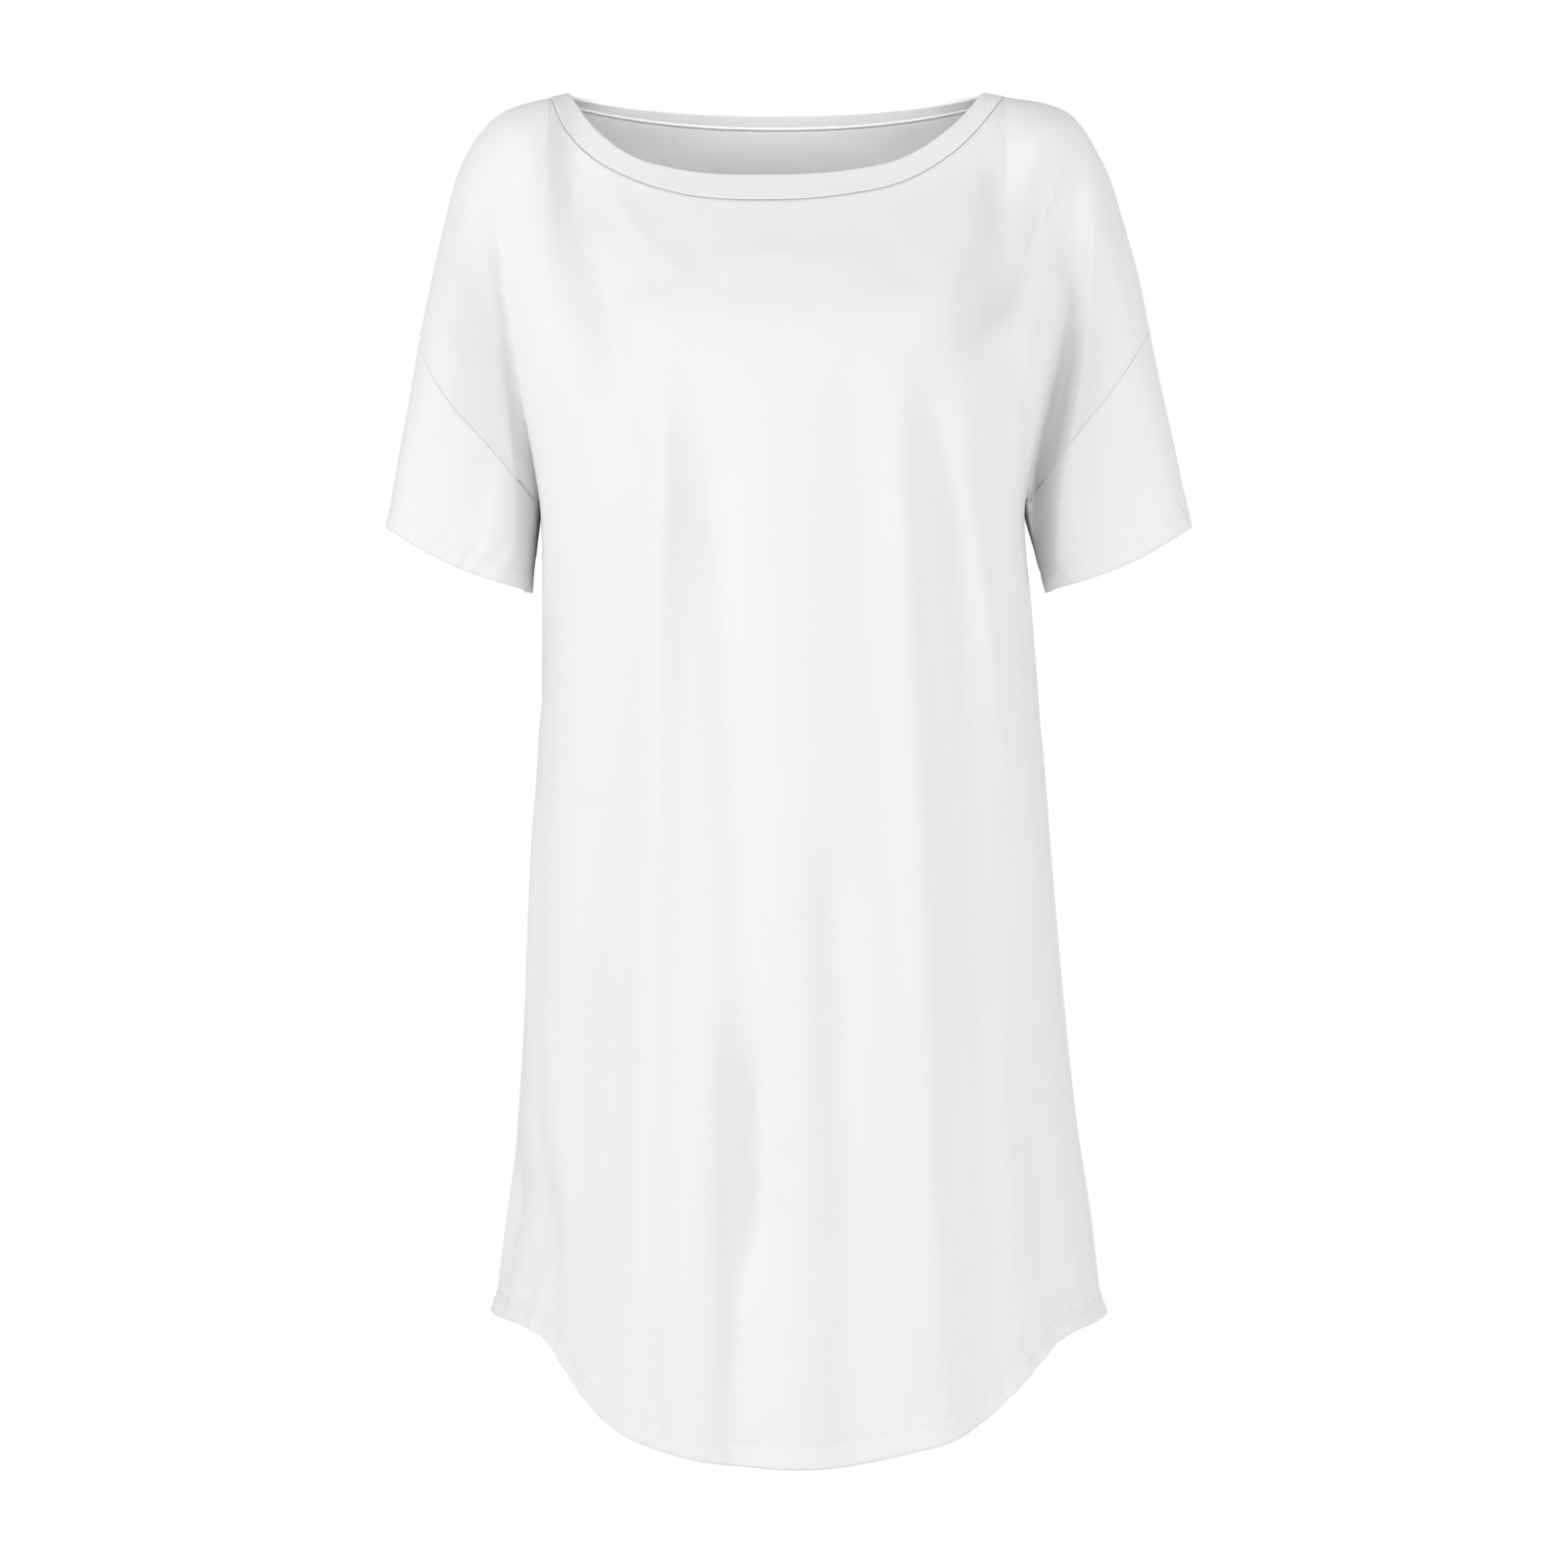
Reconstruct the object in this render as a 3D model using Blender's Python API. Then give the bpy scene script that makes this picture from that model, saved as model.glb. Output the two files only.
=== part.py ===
"""A loose jersey t-shirt dress with a wide neck, as it hangs when it is worn.

Each piece that is cut and sewn is a wall of cloth of its own: a front, a back, two sleeves and a
neckband. All of them lie on one worn form, which depth() gives as the distance of the cloth from
the upright plane through the side seams, for any place (x, z) in that plane.

Lengths are millimetres and become metres where a mesh is made. X is the width, Y runs from the
front (-Y) to the back and Z is up. Left and right are the viewer's, looking at the front. The
origin is midway between the two points where the neck edge crosses the shoulders.
"""

import bpy
import bmesh
import numpy as np

MM = 0.001

# --- Cloth -------------------------------------------------------------------------------------
JERSEY = 2.0            # wall of the single cloth
BAND_WALL = 2.8         # the neckband is folded double
BAND_PROUD = 0.4        # it stands this much above the body
HEM_PROUD = 0.6         # so does the turned hem, on both of its faces
HEM_TURN = 13.0         # height of the turned hem
HEM_STEP = 1.5          # height over which the hem thickens
SEAM_GAP = 0.3          # between two neighbouring pieces
UNDERARM_GAP = 0.9      # a sleeve starts this much below the underarm point of the body
UNDERARM_LEAN = 0.9    # sine of the lean of the walls there, away from each other

# --- Landmarks, in the plane of the side seams ---------------------------------------------------
UNDERARM_Z = -270.0     # the sleeves leave the body here
TIP_Z = -155.0          # the armhole seam crosses the outer line of the arm here
CUFF_OUTER_Z = -284.0
CUFF_INNER_Z = -325.0
CUFF_RISE = 9.0         # the back of a cuff is this much higher than its front
CUFF_DROP = 5.5         # how far the front of a cuff sags below its ends

# --- Body: half sections at a height, before any folds ---------------------------------------------
# left and right are the sides of the body; front and back are its depths at the middle. square is
# the exponent of the section: 2 is an ellipse, more is flatter in front and behind.
BODY_COLUMNS = ("z", "left", "right", "front", "back", "square")
BODY = (
    (-920.0, -203.0, 232.0, 152.0, 138.0, 2.25),
    (-800.0, -184.6, 214.0, 145.0, 130.0, 2.25),
    (-740.0, -175.0, 205.1, 141.0, 126.0, 2.25),
    (-640.0, -166.0, 192.8, 134.0, 120.0, 2.25),
    (-540.0, -161.0, 183.4, 128.0, 114.0, 2.3),
    (-440.0, -155.5, 175.2, 124.0, 107.0, 2.45),
    (-340.0, -151.8, 166.8, 122.0, 105.0, 2.75),
    (-270.0, -153.3, 162.0, 123.0, 111.0, 2.9),
    (-210.0, -162.0, 171.5, 121.0, 117.0, 2.9),
    (-180.0, -166.8, 177.1, 118.0, 117.3, 2.85),
    (-154.0, -171.0, 182.0, 112.0, 116.0, 2.8),
    (-128.0, -175.2, 186.5, 98.0, 112.8, 2.65),
    (-100.0, -179.0, 190.0, 79.0, 108.0, 2.5),
    (-60.0, -184.0, 194.0, 54.0, 96.0, 2.3),
    (-30.0, -188.0, 197.0, 43.0, 79.0, 2.3),
    (0.0, -190.0, 199.0, 33.0, 57.0, 2.3),
    (40.0, -190.0, 199.0, 24.0, 36.0, 2.3),
)

# --- Arms: the inner line of each, its depths, and the radius that rounds it off -------------------
# onset is 1 where an arm is round from its inner line on, and 2 where it rises softly from the chest.
# square is the exponent of its rim: 2 is a circle, more is flatter in front with a tighter turn.
ARM_COLUMNS = ("z", "left", "right", "front", "back", "round", "onset", "square")
ARM = (
    (-920.0, -262.0, 300.0, 50.0, 52.0, 50.0, 1.0, 4.0),
    (-325.0, -160.3, 177.0, 50.0, 52.0, 50.0, 1.0, 4.0),
    (-270.0, -153.3, 162.0, 49.0, 52.0, 49.4, 1.0, 4.0),
    (-210.0, -149.0, 158.0, 48.0, 52.0, 47.5, 1.1, 3.6),
    (-154.0, -141.0, 149.0, 47.0, 53.0, 45.5, 1.5, 3.0),
    (-60.0, -127.0, 131.0, 46.0, 53.0, 43.0, 2.0, 2.2),
    (0.0, -119.5, 123.0, 42.0, 48.0, 43.0, 2.0, 2.0),
    (40.0, -114.0, 118.0, 40.0, 44.0, 43.0, 2.0, 2.0),
)
BLEND = 2.4             # how tightly body and arm run into each other: more is a sharper crease

# --- Outer line seen from the front: up the left arm, over the neck, down the right arm ------------
# Each row is one place (x, z).
OUTLINE = (
    (-262.5, -340.0),
    (-252.8, -284.0),
    (-244.8, -235.5),
    (-237.8, -197.0),
    (-230.8, -155.0),
    (-223.7, -120.0),
    (-215.4, -82.0),
    (-207.7, -53.0),
    (-198.7, -34.0),
    (-185.9, -18.0),
    (-178.4, -12.0),
    (-169.9, -8.3),
    (-147.0, -2.2),
    (-135.0, 0.6),
    (-100.0, 11.0),
    (-50.0, 23.0),
    (0.0, 28.0),
    (50.0, 23.0),
    (100.0, 11.0),
    (135.0, 1.0),
    (149.5, -1.8),
    (182.7, -8.3),
    (191.0, -12.0),
    (197.2, -18.0),
    (207.7, -34.0),
    (217.3, -53.0),
    (226.2, -82.0),
    (236.5, -120.0),
    (243.4, -155.0),
    (251.8, -197.0),
    (260.2, -235.5),
    (269.8, -284.0),
    (281.0, -340.0),
)
OUTLINE_STEPS = 240     # straight steps in which the outer line is measured
SHOULDER_STEPS = 400    # the same for the part of it that is divided into columns

# --- Seams seen from the front ---------------------------------------------------------------------
# Each row is one place (x, z).
NECK_EDGE_FRONT = (
    (-135.0, 0.6),
    (-116.3, -26.5),
    (-90.7, -46.0),
    (-62.0, -54.5),
    (0.0, -58.3),
    (44.5, -55.4),
    (83.8, -45.7),
    (104.8, -32.3),
    (121.6, -16.4),
    (135.0, 1.0),
)
NECK_SEAM_FRONT = (
    (-147.0, -2.2),
    (-136.7, -26.0),
    (-119.9, -44.9),
    (-92.9, -60.8),
    (-60.0, -71.8),
    (-5.0, -76.2),
    (40.0, -73.0),
    (83.5, -62.5),
    (104.0, -51.0),
    (123.0, -35.4),
    (137.0, -19.0),
    (149.5, -1.8),
)
NECK_DROP_BACK = 8.0     # depth of the back neck edge below the shoulders
SEAM_DROP_BACK = 14.5    # the same for the seam below it
ARMHOLE_LEFT = (
    (-230.8, -155.0),
    (-225.5, -178.0),
    (-210.8, -203.0),
    (-184.0, -233.0),
    (-153.3, -270.0),
)
ARMHOLE_RIGHT = (
    (243.4, -155.0),
    (233.0, -172.0),
    (217.5, -196.0),
    (194.8, -224.0),
    (162.0, -270.0),
)
# The hem by its place across the body, from the left side (-1) to the right side (1).
HEM_COLUMNS = ("across", "z")
HEM = (
    (-1.0, -793.5),
    (-0.93, -794.2),
    (-0.86, -798.5),
    (-0.80, -805.0),
    (-0.735, -818.5),
    (-0.665, -835.5),
    (-0.585, -849.5),
    (-0.50, -859.0),
    (-0.36, -869.5),
    (-0.16, -876.5),
    (0.0, -877.5),
    (0.16, -875.5),
    (0.34, -867.0),
    (0.47, -859.5),
    (0.565, -849.0),
    (0.65, -835.0),
    (0.735, -818.5),
    (0.81, -805.0),
    (0.875, -799.0),
    (0.94, -796.2),
    (1.0, -794.0),
)

# --- Largest folds: ridges (height > 0) and troughs (height < 0) -----------------------------------
# A fold runs from z_top to z_low, through x_top, x_mid and x_low, and has a half width of width.
FOLD_COLUMNS = ("x_top", "x_mid", "x_low", "z_top", "z_low", "height", "width")
FOLDS_FRONT = (
    (-70.0, -81.0, -94.0, -150.0, -1000.0, 9.0, 12.0),
    (-104.0, -108.0, -124.0, -230.0, -1000.0, -5.0, 13.0),
    (-46.0, -16.0, -26.0, -180.0, -1000.0, -10.0, 16.0),
    (6.0, 8.0, 10.0, -140.0, -760.0, 6.0, 38.0),
    (74.0, 98.0, 114.0, -150.0, -1000.0, 9.0, 15.0),
    (101.0, 120.0, 131.0, -170.0, -1000.0, -7.5, 14.0),
    (116.0, 142.0, 168.0, -180.0, -560.0, 6.0, 14.0),
    (34.0, 46.0, 56.0, -460.0, -1000.0, -7.0, 15.0),
    (-140.0, -150.0, -160.0, -480.0, -1000.0, 4.0, 16.0),
    (140.0, 150.0, 158.0, -560.0, -1000.0, 5.0, 15.0),
)
FOLDS_BACK = (
    (-95.0, -100.0, -118.0, -210.0, -1000.0, 8.0, 18.0),
    (-60.0, -58.0, -70.0, -230.0, -1000.0, -8.0, 18.0),
    (-12.0, -20.0, -26.0, -170.0, -1000.0, 7.0, 20.0),
    (28.0, 22.0, 20.0, -250.0, -1000.0, -8.0, 18.0),
    (66.0, 64.0, 72.0, -200.0, -1000.0, 8.0, 17.0),
    (104.0, 106.0, 114.0, -260.0, -1000.0, -9.0, 14.0),
    (136.0, 146.0, 164.0, -330.0, -1000.0, 10.0, 12.0),
    (-130.0, -138.0, -150.0, -420.0, -1000.0, -5.0, 15.0),
)
FOLDS = {"front": FOLDS_FRONT, "back": FOLDS_BACK}
FOLD_FADE = 0.16        # share of a fold's length over which it rises at either end
FOLD_SPREAD = 0.5       # how much wider a fold is at its foot than at its top
FOLD_FOOT = 60.0        # folds die out where the form is shallower than this

# --- Mesh counts ------------------------------------------------------------------------------------
SHOULDER_COLUMNS = 7
NECK_COLUMNS = 26
NECK_SHARE = 0.74       # share of a panel's half width that the neck takes at the top
UPPER_ROWS = 14
LOWER_ROWS = 19
SLEEVE_COLUMNS = UPPER_ROWS   # on each face of a sleeve, so that both sides of an armhole seam match
SLEEVE_ROWS = 8
BAND_ROWS = 2
NECK_PULL = 0.3         # share of the half width over which columns turn from the neck to the armhole
ARMHOLE_PULL = 0.2      # share of it over which their rows take the spacing of the armhole
ARMHOLE_BEND = 3        # power with which the bend of an armhole fades across the panel
NUDGE = 0.05            # step for slopes
SHARP_ANGLE = np.radians(50.0)

WHITE_JERSEY = (0.90, 0.90, 0.90, 1.0)
JERSEY_ROUGHNESS = 0.85


# --- Helpers ----------------------------------------------------------------------------------------
def smooth(at, knots, values):
    """A smooth curve through (knots, values), by cubic Hermite pieces."""
    step = np.diff(knots)
    rise = np.diff(values) / step
    between = (rise[:-1] * step[1:] + rise[1:] * step[:-1]) / (step[:-1] + step[1:])
    slope = np.concatenate([rise[:1], between, rise[-1:]])
    piece = np.clip(np.searchsorted(knots, at, side="right") - 1, 0, len(step) - 1)
    t = (at - knots[piece]) / step[piece]
    bend_in = (t - 1.0) ** 2 * t * slope[piece] * step[piece]
    bend_out = t**2 * (t - 1.0) * slope[piece + 1] * step[piece]
    ease = t * t * (3.0 - 2.0 * t)
    return values[piece] * (1.0 - ease) + values[piece + 1] * ease + bend_in + bend_out


def table(columns, rows):
    """The named columns of a table as arrays."""
    return dict(zip(columns, np.array(rows).T))


def spline(points, share):
    """Points at these shares of the length of a smooth curve through the given ones."""
    points = np.array(points)
    length = np.concatenate([[0.0], np.cumsum(np.hypot(*np.diff(points, axis=0).T))])
    return np.stack([smooth(share * length[-1], length, values) for values in points.T], axis=-1)


def smoothstep(t):
    t = np.clip(t, 0.0, 1.0)
    return t * t * (3.0 - 2.0 * t)


def eased(t):
    """Runs 0 to 1, slow at both ends."""
    return (1.0 - np.cos(np.pi * t)) / 2.0


def round_off(t, square):
    """Height of a rim of radius 1 at the distance t in from its edge; square 2 is a circle."""
    return (1.0 - (1.0 - np.clip(t, 0.0, 1.0)) ** square) ** (1.0 / square)


BODY_AT = table(BODY_COLUMNS, BODY)
ARM_AT = table(ARM_COLUMNS, ARM)
HEM_AT = table(HEM_COLUMNS, HEM)
OUTER = spline(OUTLINE, np.linspace(0.0, 1.0, OUTLINE_STEPS + 1))
PEAK = int(np.argmax(OUTER[:, 1]))


def body(column, z):
    return smooth(z, BODY_AT["z"], BODY_AT[column])


def arm(column, z):
    return smooth(z, ARM_AT["z"], ARM_AT[column])


def outer_x(z, side):
    """The outer line of the arm at a height; side is -1 for the left and 1 for the right."""
    if side < 0:
        return np.interp(z, OUTER[:PEAK, 1], OUTER[:PEAK, 0])
    return np.interp(z, OUTER[:PEAK:-1, 1], OUTER[:PEAK:-1, 0])


def outer_z(x):
    return np.interp(x, OUTER[:, 0], OUTER[:, 1])


# --- The worn form -----------------------------------------------------------------------------------
def inside_outline(x, z):
    """Distance from (x, z) to the outer line, or 0 past it."""
    start = OUTER[:-1]
    run = np.diff(OUTER, axis=0)
    to_x = x[..., None] - start[:, 0]
    to_z = z[..., None] - start[:, 1]
    share = np.clip((to_x * run[:, 0] + to_z * run[:, 1]) / (run**2).sum(axis=1), 0.0, 1.0)
    gap = np.sqrt(((to_x - share * run[:, 0]) ** 2 + (to_z - share * run[:, 1]) ** 2).min(axis=-1))
    return np.where(z > outer_z(x), 0.0, gap)


def fold_relief(x, z, face):
    """Height of the folds above the plain form."""
    relief = np.zeros_like(x)
    for row in FOLDS[face]:
        fold = dict(zip(FOLD_COLUMNS, row))
        down = (fold["z_top"] - z) / (fold["z_top"] - fold["z_low"])
        bow = 2.0 * (2.0 * fold["x_mid"] - fold["x_top"] - fold["x_low"])
        line = fold["x_top"] + (fold["x_low"] - fold["x_top"]) * down + bow * down * (1.0 - down)
        ends = smoothstep(down / FOLD_FADE) * smoothstep((1.0 - down) / FOLD_FADE)
        width = fold["width"] * (1.0 + FOLD_SPREAD * np.clip(down, 0.0, 1.0))
        relief += fold["height"] * ends * np.exp(-(((x - line) / width) ** 2))
    return relief


def depth(x, z, face):
    """How far the cloth stands from the plane of the side seams, on its front or its back."""
    left = body("left", z)
    right = body("right", z)
    across = np.clip(np.abs(2.0 * x - left - right) / (right - left), 0.0, 1.0)
    flatness = body("square", z)
    trunk = body(face, z) * (1.0 - across**flatness) ** (1.0 / flatness)
    past_inner = np.where(2.0 * x < left + right, arm("left", z) - x, x - arm("right", z))
    square = arm("square", z)
    limb = arm(face, z) * round_off(past_inner / arm("round", z), square) ** arm("onset", z)
    both = (trunk**BLEND + limb**BLEND) ** (1.0 / BLEND)
    both = both + fold_relief(x, z, face) * smoothstep(both / FOLD_FOOT)
    return both * round_off(inside_outline(x, z) / arm("round", z), square)


def outward(x, z, face):
    """Unit normals of the form, from the slope of its squared depth, which is tame at the outline."""
    sign = -1.0 if face == "front" else 1.0
    slope_x = depth(x + NUDGE, z, face) ** 2 - depth(x - NUDGE, z, face) ** 2
    slope_z = depth(x, z + NUDGE, face) ** 2 - depth(x, z - NUDGE, face) ** 2
    normal = np.stack([-slope_x, sign * 4.0 * NUDGE * depth(x, z, face), -slope_z], axis=-1)
    return normal / np.linalg.norm(normal, axis=-1, keepdims=True)


def on_form(flat, face, at_seam=0.0):
    """Points of the form over the places flat (x, z), held at_seam clear of the plane of the seams."""
    sign = -1.0 if face == "front" else 1.0
    y = sign * (depth(flat[..., 0], flat[..., 1], face) + at_seam)
    return np.stack([flat[..., 0], y, flat[..., 1]], axis=-1)


# --- Where the pieces run, in the plane of the side seams -------------------------------------------
def along_outer(x_start, x_end, count):
    """Places on the outer line between two of its x, evenly spaced along it."""
    fine = np.linspace(x_start, x_end, SHOULDER_STEPS)
    fine_z = outer_z(fine)
    length = np.concatenate([[0.0], np.cumsum(np.hypot(np.diff(fine), np.diff(fine_z)))])
    x = np.interp(np.linspace(0.0, length[-1], count), length, fine)
    return np.stack([x, outer_z(x)], axis=-1)


def neck_line(face, which, share):
    """The neck edge or the neck seam, from the left shoulder to the right."""
    front = {"edge": NECK_EDGE_FRONT, "seam": NECK_SEAM_FRONT}[which]
    if face == "front":
        line = spline(front, share)
    else:
        start, end = np.array(front[0]), np.array(front[-1])
        drop = {"edge": NECK_DROP_BACK, "seam": SEAM_DROP_BACK}[which]
        line = start + (end - start) * share[:, None]
        line[:, 1] -= drop * 4.0 * share * (1.0 - share)
    line[[0, -1], 1] = outer_z(line[[0, -1], 0])
    return line


def armhole(side, share):
    """The armhole seam from the outer line of the arm to the underarm."""
    return spline(ARMHOLE_LEFT if side < 0 else ARMHOLE_RIGHT, share)


def seam_offset(line, distance):
    """A line of places moved sideways, to the right of its direction."""
    ahead = np.gradient(line, axis=0)
    ahead /= np.linalg.norm(ahead, axis=1, keepdims=True)
    return line + distance * np.stack([ahead[:, 1], -ahead[:, 0]], axis=-1)


def panel_columns():
    shoulder = np.linspace(-1.0, -NECK_SHARE, SHOULDER_COLUMNS + 1)
    neck = np.linspace(-NECK_SHARE, NECK_SHARE, NECK_COLUMNS + 1)
    return np.concatenate([shoulder[:-1], neck, -shoulder[-2::-1]])


def panel_top(face):
    """Left shoulder seam, neck seam and right shoulder seam, one place for each column."""
    seam = neck_line(face, "seam", eased(np.linspace(0.0, 1.0, NECK_COLUMNS + 1)))
    seam[1:-1] = seam_offset(seam, SEAM_GAP)[1:-1]
    left = along_outer(outer_x(TIP_Z, -1), seam[0, 0] - SEAM_GAP, SHOULDER_COLUMNS + 1)
    right = along_outer(seam[-1, 0] + SEAM_GAP, outer_x(TIP_Z, 1), SHOULDER_COLUMNS + 1)
    return np.concatenate([left, seam[1:-1], right])


def panel_upper(face):
    """Places from the shoulders and neck down to the underarm row, with the armholes at the sides."""
    u = panel_columns()
    t = np.linspace(0.0, 1.0, UPPER_ROWS + 1)[:, None]
    from_outline = smoothstep((np.abs(u) - NECK_SHARE) / NECK_PULL + 1.0)
    to_underarm = smoothstep((np.abs(u) - 1.0) / ARMHOLE_PULL + 1.0)
    down = t + from_outline * (1.0 - np.cos(np.pi * t / 2.0) - t)
    down = down + to_underarm * (eased(t) - down)
    top = panel_top(face)
    foot_z = np.full_like(u, UNDERARM_Z)
    foot = np.stack([body_x(u, foot_z), foot_z], axis=-1)
    flat = top + (foot - top) * down[..., None]
    for side, column in ((-1, 0), (1, -1)):
        seam = armhole(side, down[:, column])
        seam[1:-1] = seam_offset(seam, SEAM_GAP * side / 2.0)[1:-1]
        bend = seam - (top[column] + (foot[column] - top[column]) * down[:, column, None])
        bend_at = [[np.interp(row, down[:, column], bend[:, axis]) for axis in (0, 1)] for row in down.T]
        reach = np.clip(side * u, 0.0, 1.0) ** ARMHOLE_BEND
        flat += np.array(bend_at).transpose(2, 0, 1) * reach[:, None]
        flat[:, column] = seam
    return flat


def body_x(u, z):
    """The x of a column of the body at a height, spaced evenly round its section."""
    left = body("left", z)
    right = body("right", z)
    return (left + right) / 2.0 + (right - left) / 2.0 * np.sin(np.pi * u / 2.0)


def panel_lower():
    """Places from below the underarm row to the hem, ending in the rows of the turned hem."""
    u = panel_columns()
    hem_z = smooth(np.sin(np.pi * u / 2.0), HEM_AT["across"], HEM_AT["z"])
    share = np.linspace(0.0, 1.0, LOWER_ROWS + 1)[1:, None]
    turn_z = hem_z + HEM_TURN + HEM_STEP
    rows = UNDERARM_Z + (turn_z - UNDERARM_Z) * share
    rows = np.concatenate([rows, [hem_z + HEM_TURN, hem_z]])
    return np.stack([body_x(u[None, :], rows), rows], axis=-1)


# --- Walls ---------------------------------------------------------------------------------------------
def make_piece(name, outer, inner, closed):
    """A wall between an outer and an inner grid of points; closed joins its last column to its first."""
    rows, columns = outer.shape[:2]
    mesh = bmesh.new()
    skins = []
    for grid in (outer, inner):
        skins.append([[mesh.verts.new(point) for point in row] for row in grid * MM])
    last = columns if closed else columns - 1
    for skin in skins:
        for i in range(rows - 1):
            for j in range(last):
                k = (j + 1) % columns
                mesh.faces.new((skin[i][j], skin[i + 1][j], skin[i + 1][k], skin[i][k]))
    for i in (0, rows - 1):
        for j in range(last):
            k = (j + 1) % columns
            mesh.faces.new((skins[0][i][j], skins[0][i][k], skins[1][i][k], skins[1][i][j]))
    if not closed:
        for j in (0, columns - 1):
            for i in range(rows - 1):
                mesh.faces.new((skins[0][i][j], skins[0][i + 1][j], skins[1][i + 1][j], skins[1][i][j]))
    bmesh.ops.recalc_face_normals(mesh, faces=mesh.faces)
    data = bpy.data.meshes.new(name)
    mesh.to_mesh(data)
    mesh.free()
    data.shade_smooth()
    data.set_sharp_from_angle(angle=SHARP_ANGLE)
    data.materials.append(jersey_material(name))
    piece = bpy.data.objects.new(name, data)
    bpy.context.scene.collection.objects.link(piece)
    return piece


def jersey_material(name):
    material = bpy.data.materials.new(name)
    material.use_nodes = True
    shader = material.node_tree.nodes["Principled BSDF"]
    shader.inputs["Base Color"].default_value = WHITE_JERSEY
    shader.inputs["Roughness"].default_value = JERSEY_ROUGHNESS
    shader.inputs["Metallic"].default_value = 0.0
    return material


def underarm_normal(away):
    """Where body and sleeve part, each wall faces down and leans away from the other."""
    return np.array([away * UNDERARM_LEAN, 0.0, -np.sqrt(1.0 - UNDERARM_LEAN**2)])


def make_panel(face):
    """The front or the back, from the shoulders to the turned hem."""
    flat = np.concatenate([panel_upper(face), panel_lower()])
    surface = on_form(flat, face, SEAM_GAP / 2.0)
    normal = outward(flat[..., 0], flat[..., 1], face)
    proud = np.zeros(flat.shape[:2])
    proud[-2:] = HEM_PROUD
    outer = surface + normal * proud[..., None]
    for side, column in ((-1, 0), (1, -1)):
        normal[UPPER_ROWS, column] = underarm_normal(side)
    inner = surface - normal * (JERSEY + proud[..., None])
    return make_piece(face, outer, inner, closed=False)


def sleeve_face(side, face):
    """Places of one face of a sleeve, from its armhole row to its cuff row."""
    share = eased(np.linspace(0.0, 1.0, SLEEVE_COLUMNS + 1))
    start = armhole(side, share)
    start[1:-1] = seam_offset(start, -SEAM_GAP * side / 2.0)[1:-1]
    start[0, 1] -= SEAM_GAP
    start[-1, 1] -= UNDERARM_GAP
    cuff_x = np.array([outer_x(CUFF_OUTER_Z, side), arm("left" if side < 0 else "right", CUFF_INNER_Z)])
    cuff = np.stack([cuff_x[0] + (cuff_x[1] - cuff_x[0]) * share,
                     CUFF_OUTER_Z + (CUFF_INNER_Z - CUFF_OUTER_Z) * share], axis=-1)
    cuff[:, 1] += np.sin(np.pi * share) * (-CUFF_DROP if face == "front" else CUFF_RISE)
    down = np.linspace(0.0, 1.0, SLEEVE_ROWS + 1)[:, None, None]
    flat = start + (cuff - start) * down
    flat[:, 0, 0] = outer_x(flat[:, 0, 1], side)
    flat[:, -1, 0] = arm("left" if side < 0 else "right", flat[:, -1, 1])
    return flat


def make_sleeve(name, side):
    """A sleeve, closed round the arm from its armhole to its cuff."""
    front = sleeve_face(side, "front")
    back = sleeve_face(side, "back")[:, -2:0:-1]
    surface = np.concatenate([on_form(front, "front"), on_form(back, "back")], axis=1)
    surface[:, [0, SLEEVE_COLUMNS], 1] = 0.0
    normal = np.concatenate([outward(front[..., 0], front[..., 1], "front"),
                             outward(back[..., 0], back[..., 1], "back")], axis=1)
    normal[0, SLEEVE_COLUMNS] = underarm_normal(-side)
    return make_piece(name, surface, surface - normal * JERSEY, closed=True)


def make_neckband():
    """The doubled strip between the neck seam and the neck edge, all the way round."""
    share = eased(np.linspace(0.0, 1.0, NECK_COLUMNS + 1))
    rows = np.linspace(0.0, 1.0, BAND_ROWS + 1)[:, None, None]
    skins = []
    for face, keep in (("front", slice(None)), ("back", slice(-2, 0, -1))):
        seam = neck_line(face, "seam", share)
        edge = neck_line(face, "edge", share)
        flat = (seam + (edge - seam) * rows)[:, keep]
        if face == "front":
            flat[:, [0, -1], 1] = outer_z(flat[:, [0, -1], 0])
        skins.append((on_form(flat, face), outward(flat[..., 0], flat[..., 1], face)))
    surface = np.concatenate([skin[0] for skin in skins], axis=1)
    normal = np.concatenate([skin[1] for skin in skins], axis=1)
    surface[:, [0, NECK_COLUMNS], 1] = 0.0
    outer = surface + normal * BAND_PROUD
    return make_piece("neckband", outer, outer - normal * BAND_WALL, closed=True)


def main():
    for thing in list(bpy.data.objects):
        bpy.data.objects.remove(thing)
    make_panel("front")
    make_panel("back")
    make_sleeve("sleeve_left", -1)
    make_sleeve("sleeve_right", 1)
    make_neckband()


main()
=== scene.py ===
# %% [markdown]
# # A white jersey t-shirt dress
#
# This file dresses a imported model of a loose t-shirt dress, one cell at a time. The model's solids are
# stiff walls of cloth 2 mm thick: a front, a back, two sleeves and a neckband. Here each of them gets
# a thin shell with the folds, turned hems, seams, stitches and knit of the real garment.
#
# The first step is to load those solids as a fixed frame. Everything made below is placed in the same
# coordinates, so no piece has to be fitted afterwards.

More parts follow.
